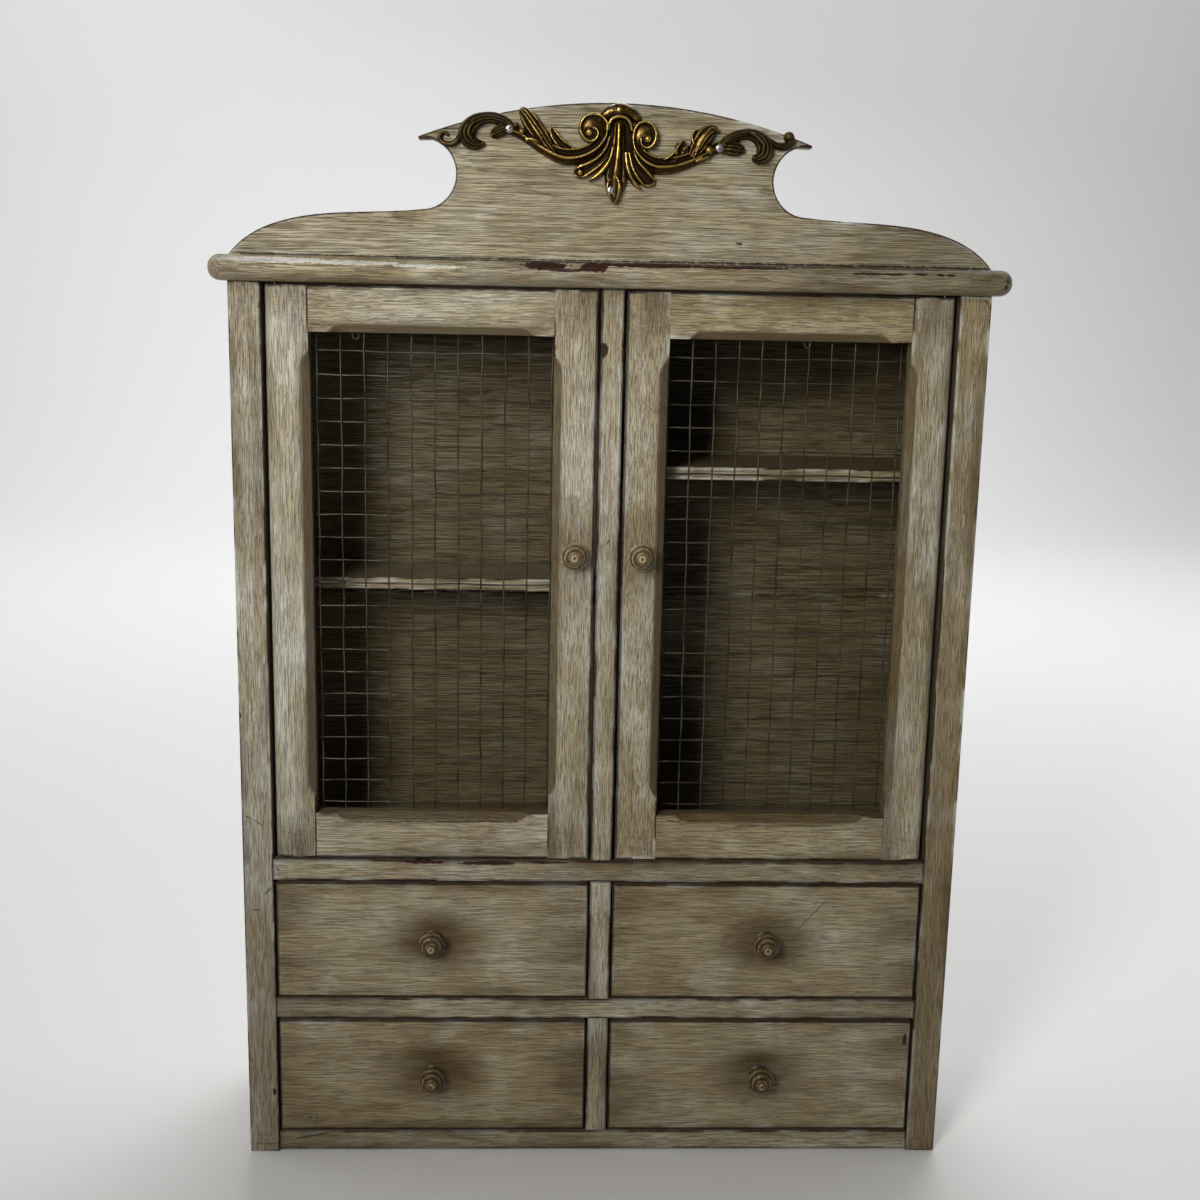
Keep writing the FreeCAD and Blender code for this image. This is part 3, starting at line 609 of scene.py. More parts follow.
        # A painted shadow line along the gaps beside the board's edges
        if tone.outline:
            ragged = self.plus(self.edge, self.centred(self.rough, gap_shadow_wobble))
            drawn = self.times(self.span(ragged, *gap_shadow_edge), tone.outline)
            if tone.inward:
                drawn = self.times(drawn, self.toward_opening(-inward_reach))
            colour = self.mix(drawn, colour, crack_and_gap_shadow_black)
        front = self.from_front(front_reach)
        if chips:
            self.bare = self.most(self.bare, self.times(self.chip_rub_and_highlight_patches(chips), front))
        colour = self.mix(self.bare, colour, bare_base)
        if cracks:
            lines = self.times(self.cracked(cracks), front)
            colour = self.mix(self.times(lines, crack_share), colour, crack_and_gap_shadow_black)
            self.bare = self.most(self.bare, lines)
        return colour

    def patches_tone_and_inside_shade(self, colour):
        """Darker patches, a darker tone, and painted shade on the boards and faces inside the cupboards."""
        low, high, inner = self.low, self.high, self.tone.inner
        # Darker patches: staining, and on the back boards painted shadow as well
        if self.name in dark_patches:
            strength, places = dark_patches[self.name]
            middle = (low.y + high.y) / 2
            forward = self.span(self.y, middle + dark_patch_skin, middle)
            cover = self.times(self.dark_patch_cover(metres(places)), forward, strength)
            colour = self.mix(cover, colour, shade_and_stain_brown)
        # A darker tone over the whole; on the right shelf and the boards inside the cupboards, painted shade
        if self.tone.deep < 1:
            colour = self.mix(1 - self.tone.deep, colour, shade_and_stain_brown)
        # Painted shade on the faces that look into a cupboard
        if inner:
            skin = high.x - inside_shade_skin if inner > 0 else -low.x - inside_shade_skin
            shaded_inside_face = self.span(self.times(self.x, inner), skin, skin + inside_shade_skin)
            colour = self.mix(self.times(shaded_inside_face, inside_shade_share), colour, shade_and_stain_brown)
        return colour

    def make(self):
        dirt_and_shade = self.find_dirt_and_shade()
        colour = self.patches_tone_and_inside_shade(self.damage_and_gap_shadows(self.mix(dirt_and_shade, self.glazed(), dirt_and_shade_brown)))
        relief = self.plus(self.times(self.ridges, grain_relief_share),
                           self.times(self.pores, -grain_relief_share))
        relief = self.plus(relief, self.times(self.bare, -bare_relief_share))
        self.bump(relief, paint_bump, paint_bump_share)
        roughness = self.plus(self.times(self.pores, pore_roughness_share),
                              self.times(dirt_and_shade, dirt_and_shade_roughness_share))
        return self.finish(colour, self.plus(roughness, paint_roughness_share), paint_specular_share)


# Bare or thinly stained wood inside the drawers
inner_light = srgb(150, 122, 84)
inner_dark = srgb(92, 66, 40)
inner_look = {"base": inner_light, "specular": 0.3, "metal": 0.0,
              "noises": {"lines": ((9.0, 240.0, 240.0), 4.0, 0.6), "rings": ((3.0, 60.0, 60.0), 3.0)},
              "layers": (("lines", (0.35, 0.70), 1.0, inner_dark), ("rings", (0.48, 0.70), 0.6, dirt_and_shade_brown)),
              "heights": (("lines", 1.0),), "bump": (0.0003, 0.5), "roughness": ("rings", 0.5, 0.3)}


def bare_wood(name, grain, seed):
    s = Shader(name)
    shifted = s.axes(s.vector("ADD", s.place, tuple(seed_step * seed)))
    return layered(s, s.combine(*[shifted[index] for index in grain_orders[grain]]), inner_look)


def use_material(node, material):
    for slot in nodes[node].material_slots:
        slot.material = material


# Softened arrises of the boards that stay as they are
weld_reach = 0.00002
flat_angle = math.radians(0.6)
sharp_angle = math.radians(38)
bevel_segments = 2


def soften(node, width):
    """Merge a board's facets into whole faces and round its arrises."""
    piece = nodes[node]
    weld = piece.modifiers.new("weld", "WELD")
    weld.merge_threshold = weld_reach
    flatten = piece.modifiers.new("flatten", "DECIMATE")
    flatten.decimate_type = "DISSOLVE"
    flatten.angle_limit = flat_angle
    bevel = piece.modifiers.new("bevel", "BEVEL")
    bevel.width = width
    bevel.segments = bevel_segments
    bevel.limit_method = "ANGLE"
    bevel.angle_limit = sharp_angle
    piece.modifiers.new("shading", "WEIGHTED_NORMAL")


def paint(node, bevel, box=None, **tone):
    """Give a board its painted finish and round its arrises."""
    finish = Paint(node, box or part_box(node), SimpleNamespace(**{**plain_tone, **tone}))
    use_material(node, finish.make())
    soften(node, bevel)


def knob_place(node):
    low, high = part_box(node)
    return ((low.x + high.x) / 2, (low.z + high.z) / 2)


frame_bevel = 0.0006
crown_bevels = {"cornice_board": 0.0004, "pediment_board": 0.0009}
door_bevel = 0.0004
drawer_bevel = 0.0009
inner_bevel = 0.0004
joint_reach = 0.012
long_hatch = 0.03
short_hatch = 0.012

# Tones of the fixed boards
# The uprights grow darker toward the bottom: browner glaze and painted shade
upright = {"grain": "z", "recess": 0.0, "hatch": long_hatch, "depth": 0.75, "short": 1.5, "foot": 0.45}
divider = {"grain": "z", "brown": 0.35, "pale": 0.75, "recess": 0.4, "hatch": short_hatch, "depth": 0.75,
           "short": 1.5, "outline": 0.6}
rail = {"brown": 0.55, "pale": 0.45, "recess": 0.7, "hatch": long_hatch, "depth": 0.7, "short": 1.2,
        "outline": 0.5}
frame_tones = {
    "face_stile_left": {**upright, "seed": 1, "brown": 0.28, "pale": 1.0, "inner": 1},
    "face_stile_right": {**upright, "seed": 2, "brown": 0.9, "pale": 0.2, "inner": -1},
    "side_left": {**upright, "seed": 3, "brown": 0.5, "pale": 0.6, "inner": 1},
    "side_right": {**upright, "seed": 4, "brown": 0.6, "pale": 0.5, "inner": -1},
    "face_mullion": {**divider, "seed": 5},
    "drawer_muntins": {**divider, "seed": 6},
    "face_rail_bottom": {**rail, "seed": 8},
    "face_rail_middle": {**rail, "seed": 9},
    "face_rail_upper": {**rail, "seed": 10},
    "cornice_board": {"seed": 12, "brown": 0.9, "pale": 0.35, "recess": 0.0, "depth": 0.75},
    "pediment_board": {"seed": 14, "brown": 0.55, "pale": 0.3, "recess": 0.5, "depth": 0.75, "short": 0.6,
                       "deep": 0.92, "worn": 0.85, "edge_rule": pediment_edge},
}
# Boards inside the cupboards, darkened all over as painted shade
inside_shaded_tone = {"brown": 1.0, "pale": 0.0, "recess": 0.0, "deep": 0.45}
# Shelves: faces behind the front edge darkened with grime and painted shade, the right shelf all over
shelf_tones = {"shelf_left": {"brown": 0.65, "pale": 0.5, "recess": 0.6},
               "shelf_right": {"brown": 1.0, "pale": 0.1, "recess": 0.75, "deep": 0.9}}
inside_grains = {"back_board_lower": "x", "back_board_upper": "x", "bottom_board": "x",
                 "drawer_dust_board": "x", "cupboard_floor": "x", "cupboard_partition": "z",
                 "drawer_partitions": "y", "drawer_guides": "y", "shelf_left": "x", "shelf_right": "x",
                 "shelf_cleats": "y"}
inside_seed = 20
inside_short_share = 0.6


def dress_carcass():
    """The finish of every fixed board."""
    for node, tone in frame_tones.items():
        paint(node, crown_bevels.get(node, frame_bevel), **tone)
    for seed, (node, grain) in enumerate(inside_grains.items(), inside_seed):
        paint(node, inner_bevel, grain=grain, seed=seed, short=inside_short_share,
              **shelf_tones.get(node, inside_shaded_tone))


# Doors: the grain of each piece and, on each side, how brown and pale it is and how short its grain
door_seeds = {"left": 40, "right": 50}
door_pieces = {"hinge_stile": ("z", {"left": (0.2, 1.0, 1.5), "right": (0.6, 0.6, 1.5)}),
               "meeting_stile": ("z", {"left": (0.55, 0.6, 1.8), "right": (0.75, 0.4, 2.4)}),
               "top_rail": ("x", {"left": (0.55, 0.5, 1.1), "right": (0.95, 0.15, 1.1)}),
               "bottom_rail": ("x", {"left": (0.62, 0.5, 1.1), "right": (0.95, 0.15, 1.1)})}
door_depths = {"x": 0.65, "z": 0.75}
door_tone = {"recess": 0.8, "hatch": long_hatch, "ends": 0.7, "outline": 0.8}


def dress_doors():
    for side, seed in door_seeds.items():
        outer = 1 if side == "left" else -1
        inwards = {"hinge_stile": (outer, 0, 0), "meeting_stile": (-outer, 0, 0), "top_rail": (0, 0, -1),
                   "bottom_rail": (0, 0, 1)}
        for index, (piece, (grain, tones)) in enumerate(door_pieces.items()):
            node = "door_" + piece + "_" + side
            brown, pale, short = tones[side]
            low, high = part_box(node)
            joint = Vector((joint_reach if grain == "x" else 0.0, 0.0, 0.0))
            paint(node, door_bevel, (low - joint, high + joint), grain=grain, seed=seed + index, brown=brown,
                  pale=pale, short=short, depth=door_depths[grain], inward=inwards[piece],
                  halo=knob_place("door_knob_" + side) if piece == "meeting_stile" else None, **door_tone)


drawer_browns = {("lower", "left"): 1.0, ("lower", "right"): 0.65, ("upper", "left"): 0.55,
                 ("upper", "right"): 0.8}
drawer_tone = {"pale": 0.2, "recess": 0.6, "hatch": short_hatch, "depth": 0.6, "short": 0.9, "ends": 0.6,
               "worn": 0.8, "outline": 0.75}
drawer_seed = 60
drawer_seed_step = 5


def dress_drawers():
    for number, ((row, side), brown) in enumerate(drawer_browns.items()):
        seed = drawer_seed + drawer_seed_step * number
        start = "drawer_" + row + "_"
        paint(start + "front_" + side, drawer_bevel, seed=seed, brown=brown,
              halo=knob_place(start + "knob_" + side), **drawer_tone)
        for index, (piece, grain) in enumerate((("sides", "y"), ("back", "x"), ("bottom", "x"))):
            node = start + piece + "_" + side
            use_material(node, bare_wood(node, grain, seed + index))
            soften(node, inner_bevel)


# Pieces made in mesh code
steep_share = 0.9


def new_piece(name, body, slot, vertices, faces, material, *replaced):
    """A smooth mesh piece that rides on a body and stands for the named nodes."""
    mesh = bpy.data.meshes.new(name)
    mesh.from_pydata(vertices, [], faces)
    mesh.materials.append(material)
    mesh.update()
    tidy = bmesh.new()
    tidy.from_mesh(mesh)
    bmesh.ops.recalc_face_normals(tidy, faces=tidy.faces)
    tidy.to_mesh(mesh)
    tidy.free()
    for face in mesh.polygons:
        face.use_smooth = True
    piece = bpy.data.objects.new(name, mesh)
    bpy.context.scene.collection.objects.link(piece)
    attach(piece, body)
    if replaced:
        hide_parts(*replaced)
    return piece


def loft(vertices, faces, rings):
    """Join closed rings of equal size into a skin with both ends closed."""
    start = len(vertices)
    size = len(rings[0])
    for ring in rings:
        vertices.extend(tuple(point) for point in ring)
    for row in range(len(rings) - 1):
        for index in range(size):
            following = (index + 1) % size
            first = start + row * size
            second = first + size
            faces.append((first + index, first + following, second + following, second + index))
    faces.append(tuple(start + index for index in range(size)))
    last = start + (len(rings) - 1) * size
    faces.append(tuple(last + index for index in reversed(range(size))))


def circle(sides):
    """Cosine and sine of each of a number of even turns."""
    turns = [2 * math.pi * side / sides for side in range(sides)]
    return [(math.cos(turn), math.sin(turn)) for turn in turns]


def tube(vertices, faces, path, radius, sides):
    """A round wire along a path of points."""
    rings = []
    for index, point in enumerate(path):
        before = path[max(index - 1, 0)]
        after = path[min(index + 1, len(path) - 1)]
        run = (after - before).normalized()
        helper = Vector((0, 1, 0)) if abs(run.y) < steep_share else Vector((1, 0, 0))
        first = run.cross(helper).normalized()
        second = run.cross(first)
        rings.append([point + (first * cosine + second * sine) * radius for cosine, sine in circle(sides)])
    loft(vertices, faces, rings)


def turned(vertices, faces, centre, profile, sides):
    """A turned form along minus Y from its centre: pairs of distance out and radius."""
    rings = [[centre + Vector((radius * cosine, -out, radius * sine)) for cosine, sine in circle(sides)]
             for out, radius in profile]
    loft(vertices, faces, rings)


def smooth_stations(stations, steps):
    """More stations between the given ones, each value on a smooth curve through its neighbours."""
    finer = []
    last = len(stations) - 1
    for index in range(last):
        near = [stations[min(max(index + shift, 0), last)] for shift in (-1, 0, 1, 2)]
        for step in range(steps):
            t = step / steps
            weights = ((-t + 2 * t * t - t ** 3) / 2, (2 - 5 * t * t + 3 * t ** 3) / 2,
                       (t + 4 * t * t - 3 * t ** 3) / 2, (t ** 3 - t * t) / 2)
            finer.append([sum(weight * value for weight, value in zip(weights, values))
                          for values in zip(*near)])
    finer.append(list(stations[last]))
    return finer


# Knobs: distance out from the front and radius, in millimetres
knob_profile = (
    (-8.0, 4.6), (-0.5, 4.6), (0.0, 6.2), (0.5, 6.1), (1.2, 5.2), (2.4, 4.8), (4.0, 5.0), (5.2, 5.8),
    (6.2, 7.0), (7.0, 7.4), (8.2, 7.4), (9.0, 7.0), (9.3, 6.2), (9.25, 5.5), (9.6, 5.4), (10.2, 5.7),
    (11.2, 5.6), (11.9, 5.0), (12.1, 4.2), (11.9, 3.6), (12.0, 3.2), (12.7, 3.3), (13.3, 3.0),
    (13.4, 2.3), (13.7, 2.1), (14.5, 2.1), (14.9, 1.6), (14.9, 0.9), (14.5, 0.3),
)
knob_sides = 40
knob_steps = 3

# Where a knob darkens, with dark glaze and painted shade in its grooves and waist: distance out and
# reach in millimetres, and the dimple in the tip
knob_grooves = ((1.6, 2.4), (9.35, 0.6), (12.05, 0.5), (13.55, 0.4))
groove_core_share = 0.3
knob_tip = (13.0, 14.0)
dimple_reach = (0.0012, 0.0004)

# Paint of the knobs and how much of it the glaze covers
knob_tones = {"door": (srgb(196, 174, 126), 0.6), "drawer": (srgb(158, 136, 96), 1.0)}
knob_glaze = srgb(100, 74, 38)
knob_groove_glaze_and_shade = srgb(36, 26, 13)
knob_mottle_cycles = 430.0
knob_mottle_detail = 4.0
knob_blotch_cycles = 150.0
knob_mottle_fade = (0.46, 0.58)
knob_blotch_fade = (0.45, 0.65)
knob_blotch_share = 0.6
knob_groove_share = 0.85
knob_bump = 0.0004
knob_bump_share = 0.5
knob_roughness_shares = (0.27, 0.30)
knob_specular_share = 0.45


def knob_finish(name, centre, coat, glaze_share):
    """The cabinet's paint on a turned knob, with dark glaze and painted shade in its grooves and waist."""
    s = Shader(name)
    offset = s.vector("SUBTRACT", s.place, tuple(centre))
    across = s.length(s.vector("MULTIPLY", offset, (1, 0, 1)))
    out = s.times(s.axes(offset)[1], -1 / millimetre)
    mottled = s.noise(s.place, knob_mottle_cycles, knob_mottle_detail, rough_share)
    blotch = s.noise(s.place, knob_blotch_cycles)
    rings = s.most(*[s.span(s.math("ABSOLUTE", s.plus(out, -groove)), reach, reach * groove_core_share)
                     for groove, reach in knob_grooves])
    rings = s.most(rings, s.times(s.span(across, *dimple_reach), s.span(out, *knob_tip)))
    colour = s.mix(s.times(s.span(mottled, *knob_mottle_fade), glaze_share), coat, knob_glaze)
    blotches = s.times(s.span(blotch, *knob_blotch_fade), knob_blotch_share * glaze_share)
    colour = s.mix(blotches, colour, knob_glaze)
    # Grooves and waist darkened: dark glaze together with painted shade
    colour = s.mix(s.times(rings, knob_groove_share), colour, knob_groove_glaze_and_shade)
    s.bump(mottled, knob_bump, knob_bump_share)
    return s.finish(colour, s.rising(mottled, *knob_roughness_shares), knob_specular_share)


def make_knobs():
    profile = metres(smooth_stations(knob_profile, knob_steps))
    names = [("door_knob_" + side, "door_" + side, "door_hinge_stile_" + side) for side in door_seeds]
    for row, side in drawer_browns:
        start = "drawer_" + row + "_"
        names.append((start + "knob_" + side, start + side, start + "front_" + side))
    for node, body, carrier in names:
        x, z = knob_place(node)
        centre = Vector((x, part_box(carrier)[0].y, z))
        vertices = []
        faces = []
        turned(vertices, faces, centre, profile, knob_sides)
        finish = knob_finish("turned_" + node, centre, *knob_tones[node.split("_")[0]])
        new_piece("turned_" + node, body, "knob_wood", vertices, faces, finish, node)


# Door mesh: welded wire, a little bent, stapled to the backs of the doors
wire_radius = 0.00045
wire_sides = 6
wire_columns = 13
wire_rows = 23
wire_pitch = 0.0127
wire_wobble = 0.0003
wire_steps = 4
staple_radius = 0.00055
staple_half_width = 0.0042
staple_crown = 0.0016
staple_leg = 0.004
staple_steps = 6
staple_columns = slice(1, None, 3)
staple_rows = slice(2, None, 4)
mesh_seeds = {"left": 5, "right": 11}
wire_light = srgb(82, 78, 64)
wire_dark = srgb(44, 40, 28)
wire_look = {"base": wire_light, "specular": 0.5, "metal": 0.5,
             "noises": {"spangle": ((900.0, 900.0, 900.0), 3.0, 0.6), "dull": ((60.0, 60.0, 60.0), 3.0)},
             "layers": (("dull", (0.40, 0.65), 1.0, wire_dark), ("spangle", (0.55, 0.75), 0.5, wire_dark)),
             "heights": (("spangle", 1.0),), "bump": (0.0001, 0.4), "roughness": ("dull", 0.25, 0.40)}


def wire_finish():
    """Zinc that has gone dull, with brighter and browner lengths."""
    s = Shader("galvanised_wire")
    return layered(s, s.place, wire_look)


def bent_wire(vertices, faces, stations, y):
    """A wire through stations across and up, in one layer of the mesh."""
    path = [Vector((x, y, z)) for x, z in smooth_stations(stations, wire_steps)]
    tube(vertices, faces, path, wire_radius, wire_sides)


def make_meshes():
    material = wire_finish()
    for side, seed in mesh_seeds.items():
        picker = random.Random(seed)
        low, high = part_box("door_mesh_" + side)
        middle = (low + high) / 2
        upright_y = low.y + wire_radius
        across_y = high.y - wire_radius
        xs = [middle.x + wire_pitch * (index - (wire_columns - 1) / 2) for index in range(wire_columns)]
        zs = [middle.z + wire_pitch * (index - (wire_rows - 1) / 2) for index in range(wire_rows)]
        shift = {(i, j): (picker.uniform(-1, 1), picker.uniform(-1, 1))
                 for i in range(wire_columns) for j in range(wire_rows)}
        vertices = []
        faces = []
        for i, x in enumerate(xs):
            bends = [(x + shift[i, j][0] * wire_wobble, z) for j, z in enumerate(zs)]
            bent_wire(vertices, faces, [(x, low.z), *bends, (x, high.z)], upright_y)
        for j, z in enumerate(zs):
            bends = [(x, z + shift[i, j][1] * wire_wobble) for i, x in enumerate(xs)]
            bent_wire(vertices, faces, [(low.x, z), *bends, (high.x, z)], across_y)
        new_piece("wire_mesh_" + side, "door_" + side, "galvanised_wire", vertices, faces, material,
                  "door_mesh_" + side)
        add_staples(side, xs, zs, across_y, material)
    make_wire_ends(material)


def add_staples(side, xs, zs, wire_y, material):
    """Wire staples that straddle the mesh's edge wires and go into the backs of the door frame."""
    vertices = []
    faces = []
    places = [(x, z, True) for z in (zs[0], zs[-1]) for x in xs[staple_columns]]
    places += [(x, z, False) for x in (xs[0], xs[-1]) for z in zs[staple_rows]]
    for x, z, along_x in places:
        run = Vector((1, 0, 0)) if along_x else Vector((0, 0, 1))
        path = []
        for step in range(staple_steps + 1):
            turn = math.pi * step / staple_steps
            path.append(Vector((x, wire_y, z)) + run * (-math.cos(turn) * staple_half_width / 2)
                        + Vector((0, math.sin(turn) * staple_crown, 0)))
        path.insert(0, path[0] + Vector((0, -staple_leg, 0)))
        path.append(path[-1] + Vector((0, -staple_leg, 0)))
        tube(vertices, faces, path, staple_radius, wire_sides)
    new_piece("staples_" + side, "door_" + side, "steel", vertices, faces, material)


# Bent wire ends that show past the edges of the openings: door, place in millimetres and way inward
wire_ends = (("left", (-137.6, 476.3), (0, -1)), ("right", (106.7, 476.3), (0, -1)),
             ("right", (74.5, 209.1), (0, 1)), ("right", (119.1, 209.1), (0, 1)),
             ("right", (161.4, 416.4), (-1, 0)))
end_bow = 0.0017
end_reach = 0.0018
end_tail = 0.007
end_steps = 8


def make_wire_ends(material):
    """Small bows of wire held against the back of the door frame, looking into the opening."""
    for index, (side, place, inward) in enumerate(wire_ends):
        way = Vector((inward[0], 0, inward[1]))
        across = Vector((inward[1], 0, -inward[0]))
        start = Vector((place[0] * millimetre, door_back_y + wire_radius / 2, place[1] * millimetre))
        path = [start - way * end_tail - across * end_bow]
        for step in range(end_steps + 1):
            turn = math.pi * step / end_steps
            path.append(start + way * (end_reach + end_bow * math.sin(turn))
                        - across * end_bow * math.cos(turn))
        path.append(start - way * end_tail + across * end_bow)
        vertices = []
        faces = []
        tube(vertices, faces, path, wire_radius, wire_sides)
        new_piece("wire_end_" + str(index + 1), "door_" + side, "galvanised_wire", vertices, faces, material)


def mirrored(*half):
    """A section of a stroke from its first half and its middle, the same on both sides."""
    return half + tuple((-share, rise) for share, rise in reversed(half[:-1]))


# Gilt mount, drawn on two grids, one for each half. A station holds across, down, width and relief:
# the first three in the grid's units, the relief in millimetres. A section holds shares of half the
# width and of the relief
left_grid = {"corner": (-105.6, 82.76), "across": (0.0663, 0.0016), "down": (0.0031, -0.0649),
             "unit": 0.0655}
right_grid = {"corner": (-9.46, 85.05), "across": (0.0713, 0.0017), "down": (0.0033, -0.0697),
              "unit": 0.0705}
band_section = ((-1, 0), (-1, 0.56), (-0.86, 0.74), (-0.66, 0.58), (-0.36, 0.44), (-0.12, 0.6), (0.06, 0.94),
                (0.18, 1.0), (0.32, 0.92), (0.5, 0.66), (0.74, 0.52), (0.92, 0.4), (1, 0.22), (1, 0))
leaf_section = mirrored((-1, 0), (-1, 0.34), (-0.86, 0.66), (-0.7, 0.76), (-0.54, 0.58), (-0.38, 0.88),
                        (-0.2, 1.0), (0, 0.74))
blade_section = ((-1, 0), (-1, 0.6), (-0.84, 0.94), (-0.62, 1.0), (-0.36, 0.72), (0, 0.52), (0.4, 0.5),
                 (0.74, 0.66), (0.92, 0.58), (1, 0.3), (1, 0))
round_section = mirrored((-1, 0), (-1, 0.4), (-0.84, 0.7), (-0.5, 0.93), (0, 1.0))
flute_section = mirrored((-1, 0), (-1, 0.36), (-0.9, 0.6), (-0.74, 0.7), (-0.58, 0.64), (-0.42, 0.8),
                         (-0.2, 0.97), (0, 1.0))
left_strokes = (
    ("band", ((1500, 262, 50, 6.0), (1484, 330, 70, 6.2), (1420, 408, 92, 6.4), (1325, 462, 108, 6.6),
              (1225, 484, 114, 6.6), (1130, 474, 110, 6.4), (1050, 438, 100, 6.2), (970, 394, 86, 5.8),
              (890, 342, 78, 5.4), (820, 300, 74, 5.2), (760, 274, 70, 5.0), (690, 246, 62, 4.8))),
    ("leaf", ((745, 240, 60, 4.6), (690, 205, 76, 5.0), (620, 182, 78, 5.4), (550, 184, 82, 5.8),
              (480, 206, 96, 6.2), (424, 252, 112, 6.4), (402, 310, 118, 6.2), (424, 358, 106, 5.8),
              (476, 384, 82, 5.2), (536, 380, 34, 4.4))),
    ("round", ((470, 215, 30, 6.6), (432, 262, 34, 6.9), (422, 312, 32, 6.8), (446, 340, 22, 6.2))),
    ("round", ((350, 322, 40, 4.2), (318, 366, 40, 4.2), (268, 384, 38, 4.0), (218, 374, 36, 3.8),
               (192, 338, 34, 3.6), (204, 300, 30, 3.4), (236, 292, 26, 3.2), (256, 318, 20, 3.0))),
    ("leaf", ((735, 268, 60, 4.6), (680, 274, 80, 5.2), (634, 296, 78, 5.0), (592, 322, 34, 4.0))),
    ("blade", ((664, 292, 40, 4.4), (640, 322, 36, 4.2), (626, 342, 12, 3.6))),
    ("leaf", ((1085, 456, 56, 5.2), (1034, 400, 86, 6.0), (986, 330, 112, 6.6), (940, 260, 126, 6.6),
              (900, 200, 118, 6.2), (866, 150, 92, 5.6), (832, 112, 40, 4.8))),
    ("round", ((990, 352, 22, 6.8), (944, 280, 24, 6.9), (898, 212, 22, 6.6), (862, 160, 14, 6.0))),
    ("blade", ((1225, 432, 44, 5.2), (1156, 394, 64, 5.8), (1106, 342, 64, 5.6), (1076, 290, 46, 5.0),
               (1064, 244, 8, 4.0))),
    ("round", ((860, 352, 34, 5.4), (915, 352, 44, 5.8), (966, 378, 40, 5.8), (984, 404, 12, 5.0))),
    ("blade", ((1540, 330, 40, 5.0), (1506, 430, 52, 5.6), (1440, 512, 66, 5.8), (1360, 566, 84, 5.8),
               (1290, 598, 98, 5.4), (1234, 606, 54, 4.4))),
    ("round", ((1548, 410, 34, 5.4), (1520, 505, 42, 6.0), (1468, 580, 46, 6.0), (1404, 636, 36, 5.2),
               (1344, 668, 8, 4.2))),
)
left_bosses = ((1395, 265, 104, 5.2, 0.5), (1362, 296, 44, 6.6, 0.3), (835, 290, 30, 6.2, 0.5),
               (790, 240, 22, 5.6, 0.5), (1282, 606, 26, 6.2, 0.5))
left_rims = (((1502, 290, 26, 6.4), (1502, 226, 28, 6.6), (1464, 178, 28, 6.6), (1404, 160, 28, 6.6),
              (1344, 174, 28, 6.6), (1304, 220, 28, 6.4), (1294, 282, 28, 6.2), (1320, 338, 28, 6.0),
              (1368, 366, 26, 5.8), (1414, 348, 24, 6.0), (1432, 300, 22, 6.2), (1408, 262, 20, 6.2)),)
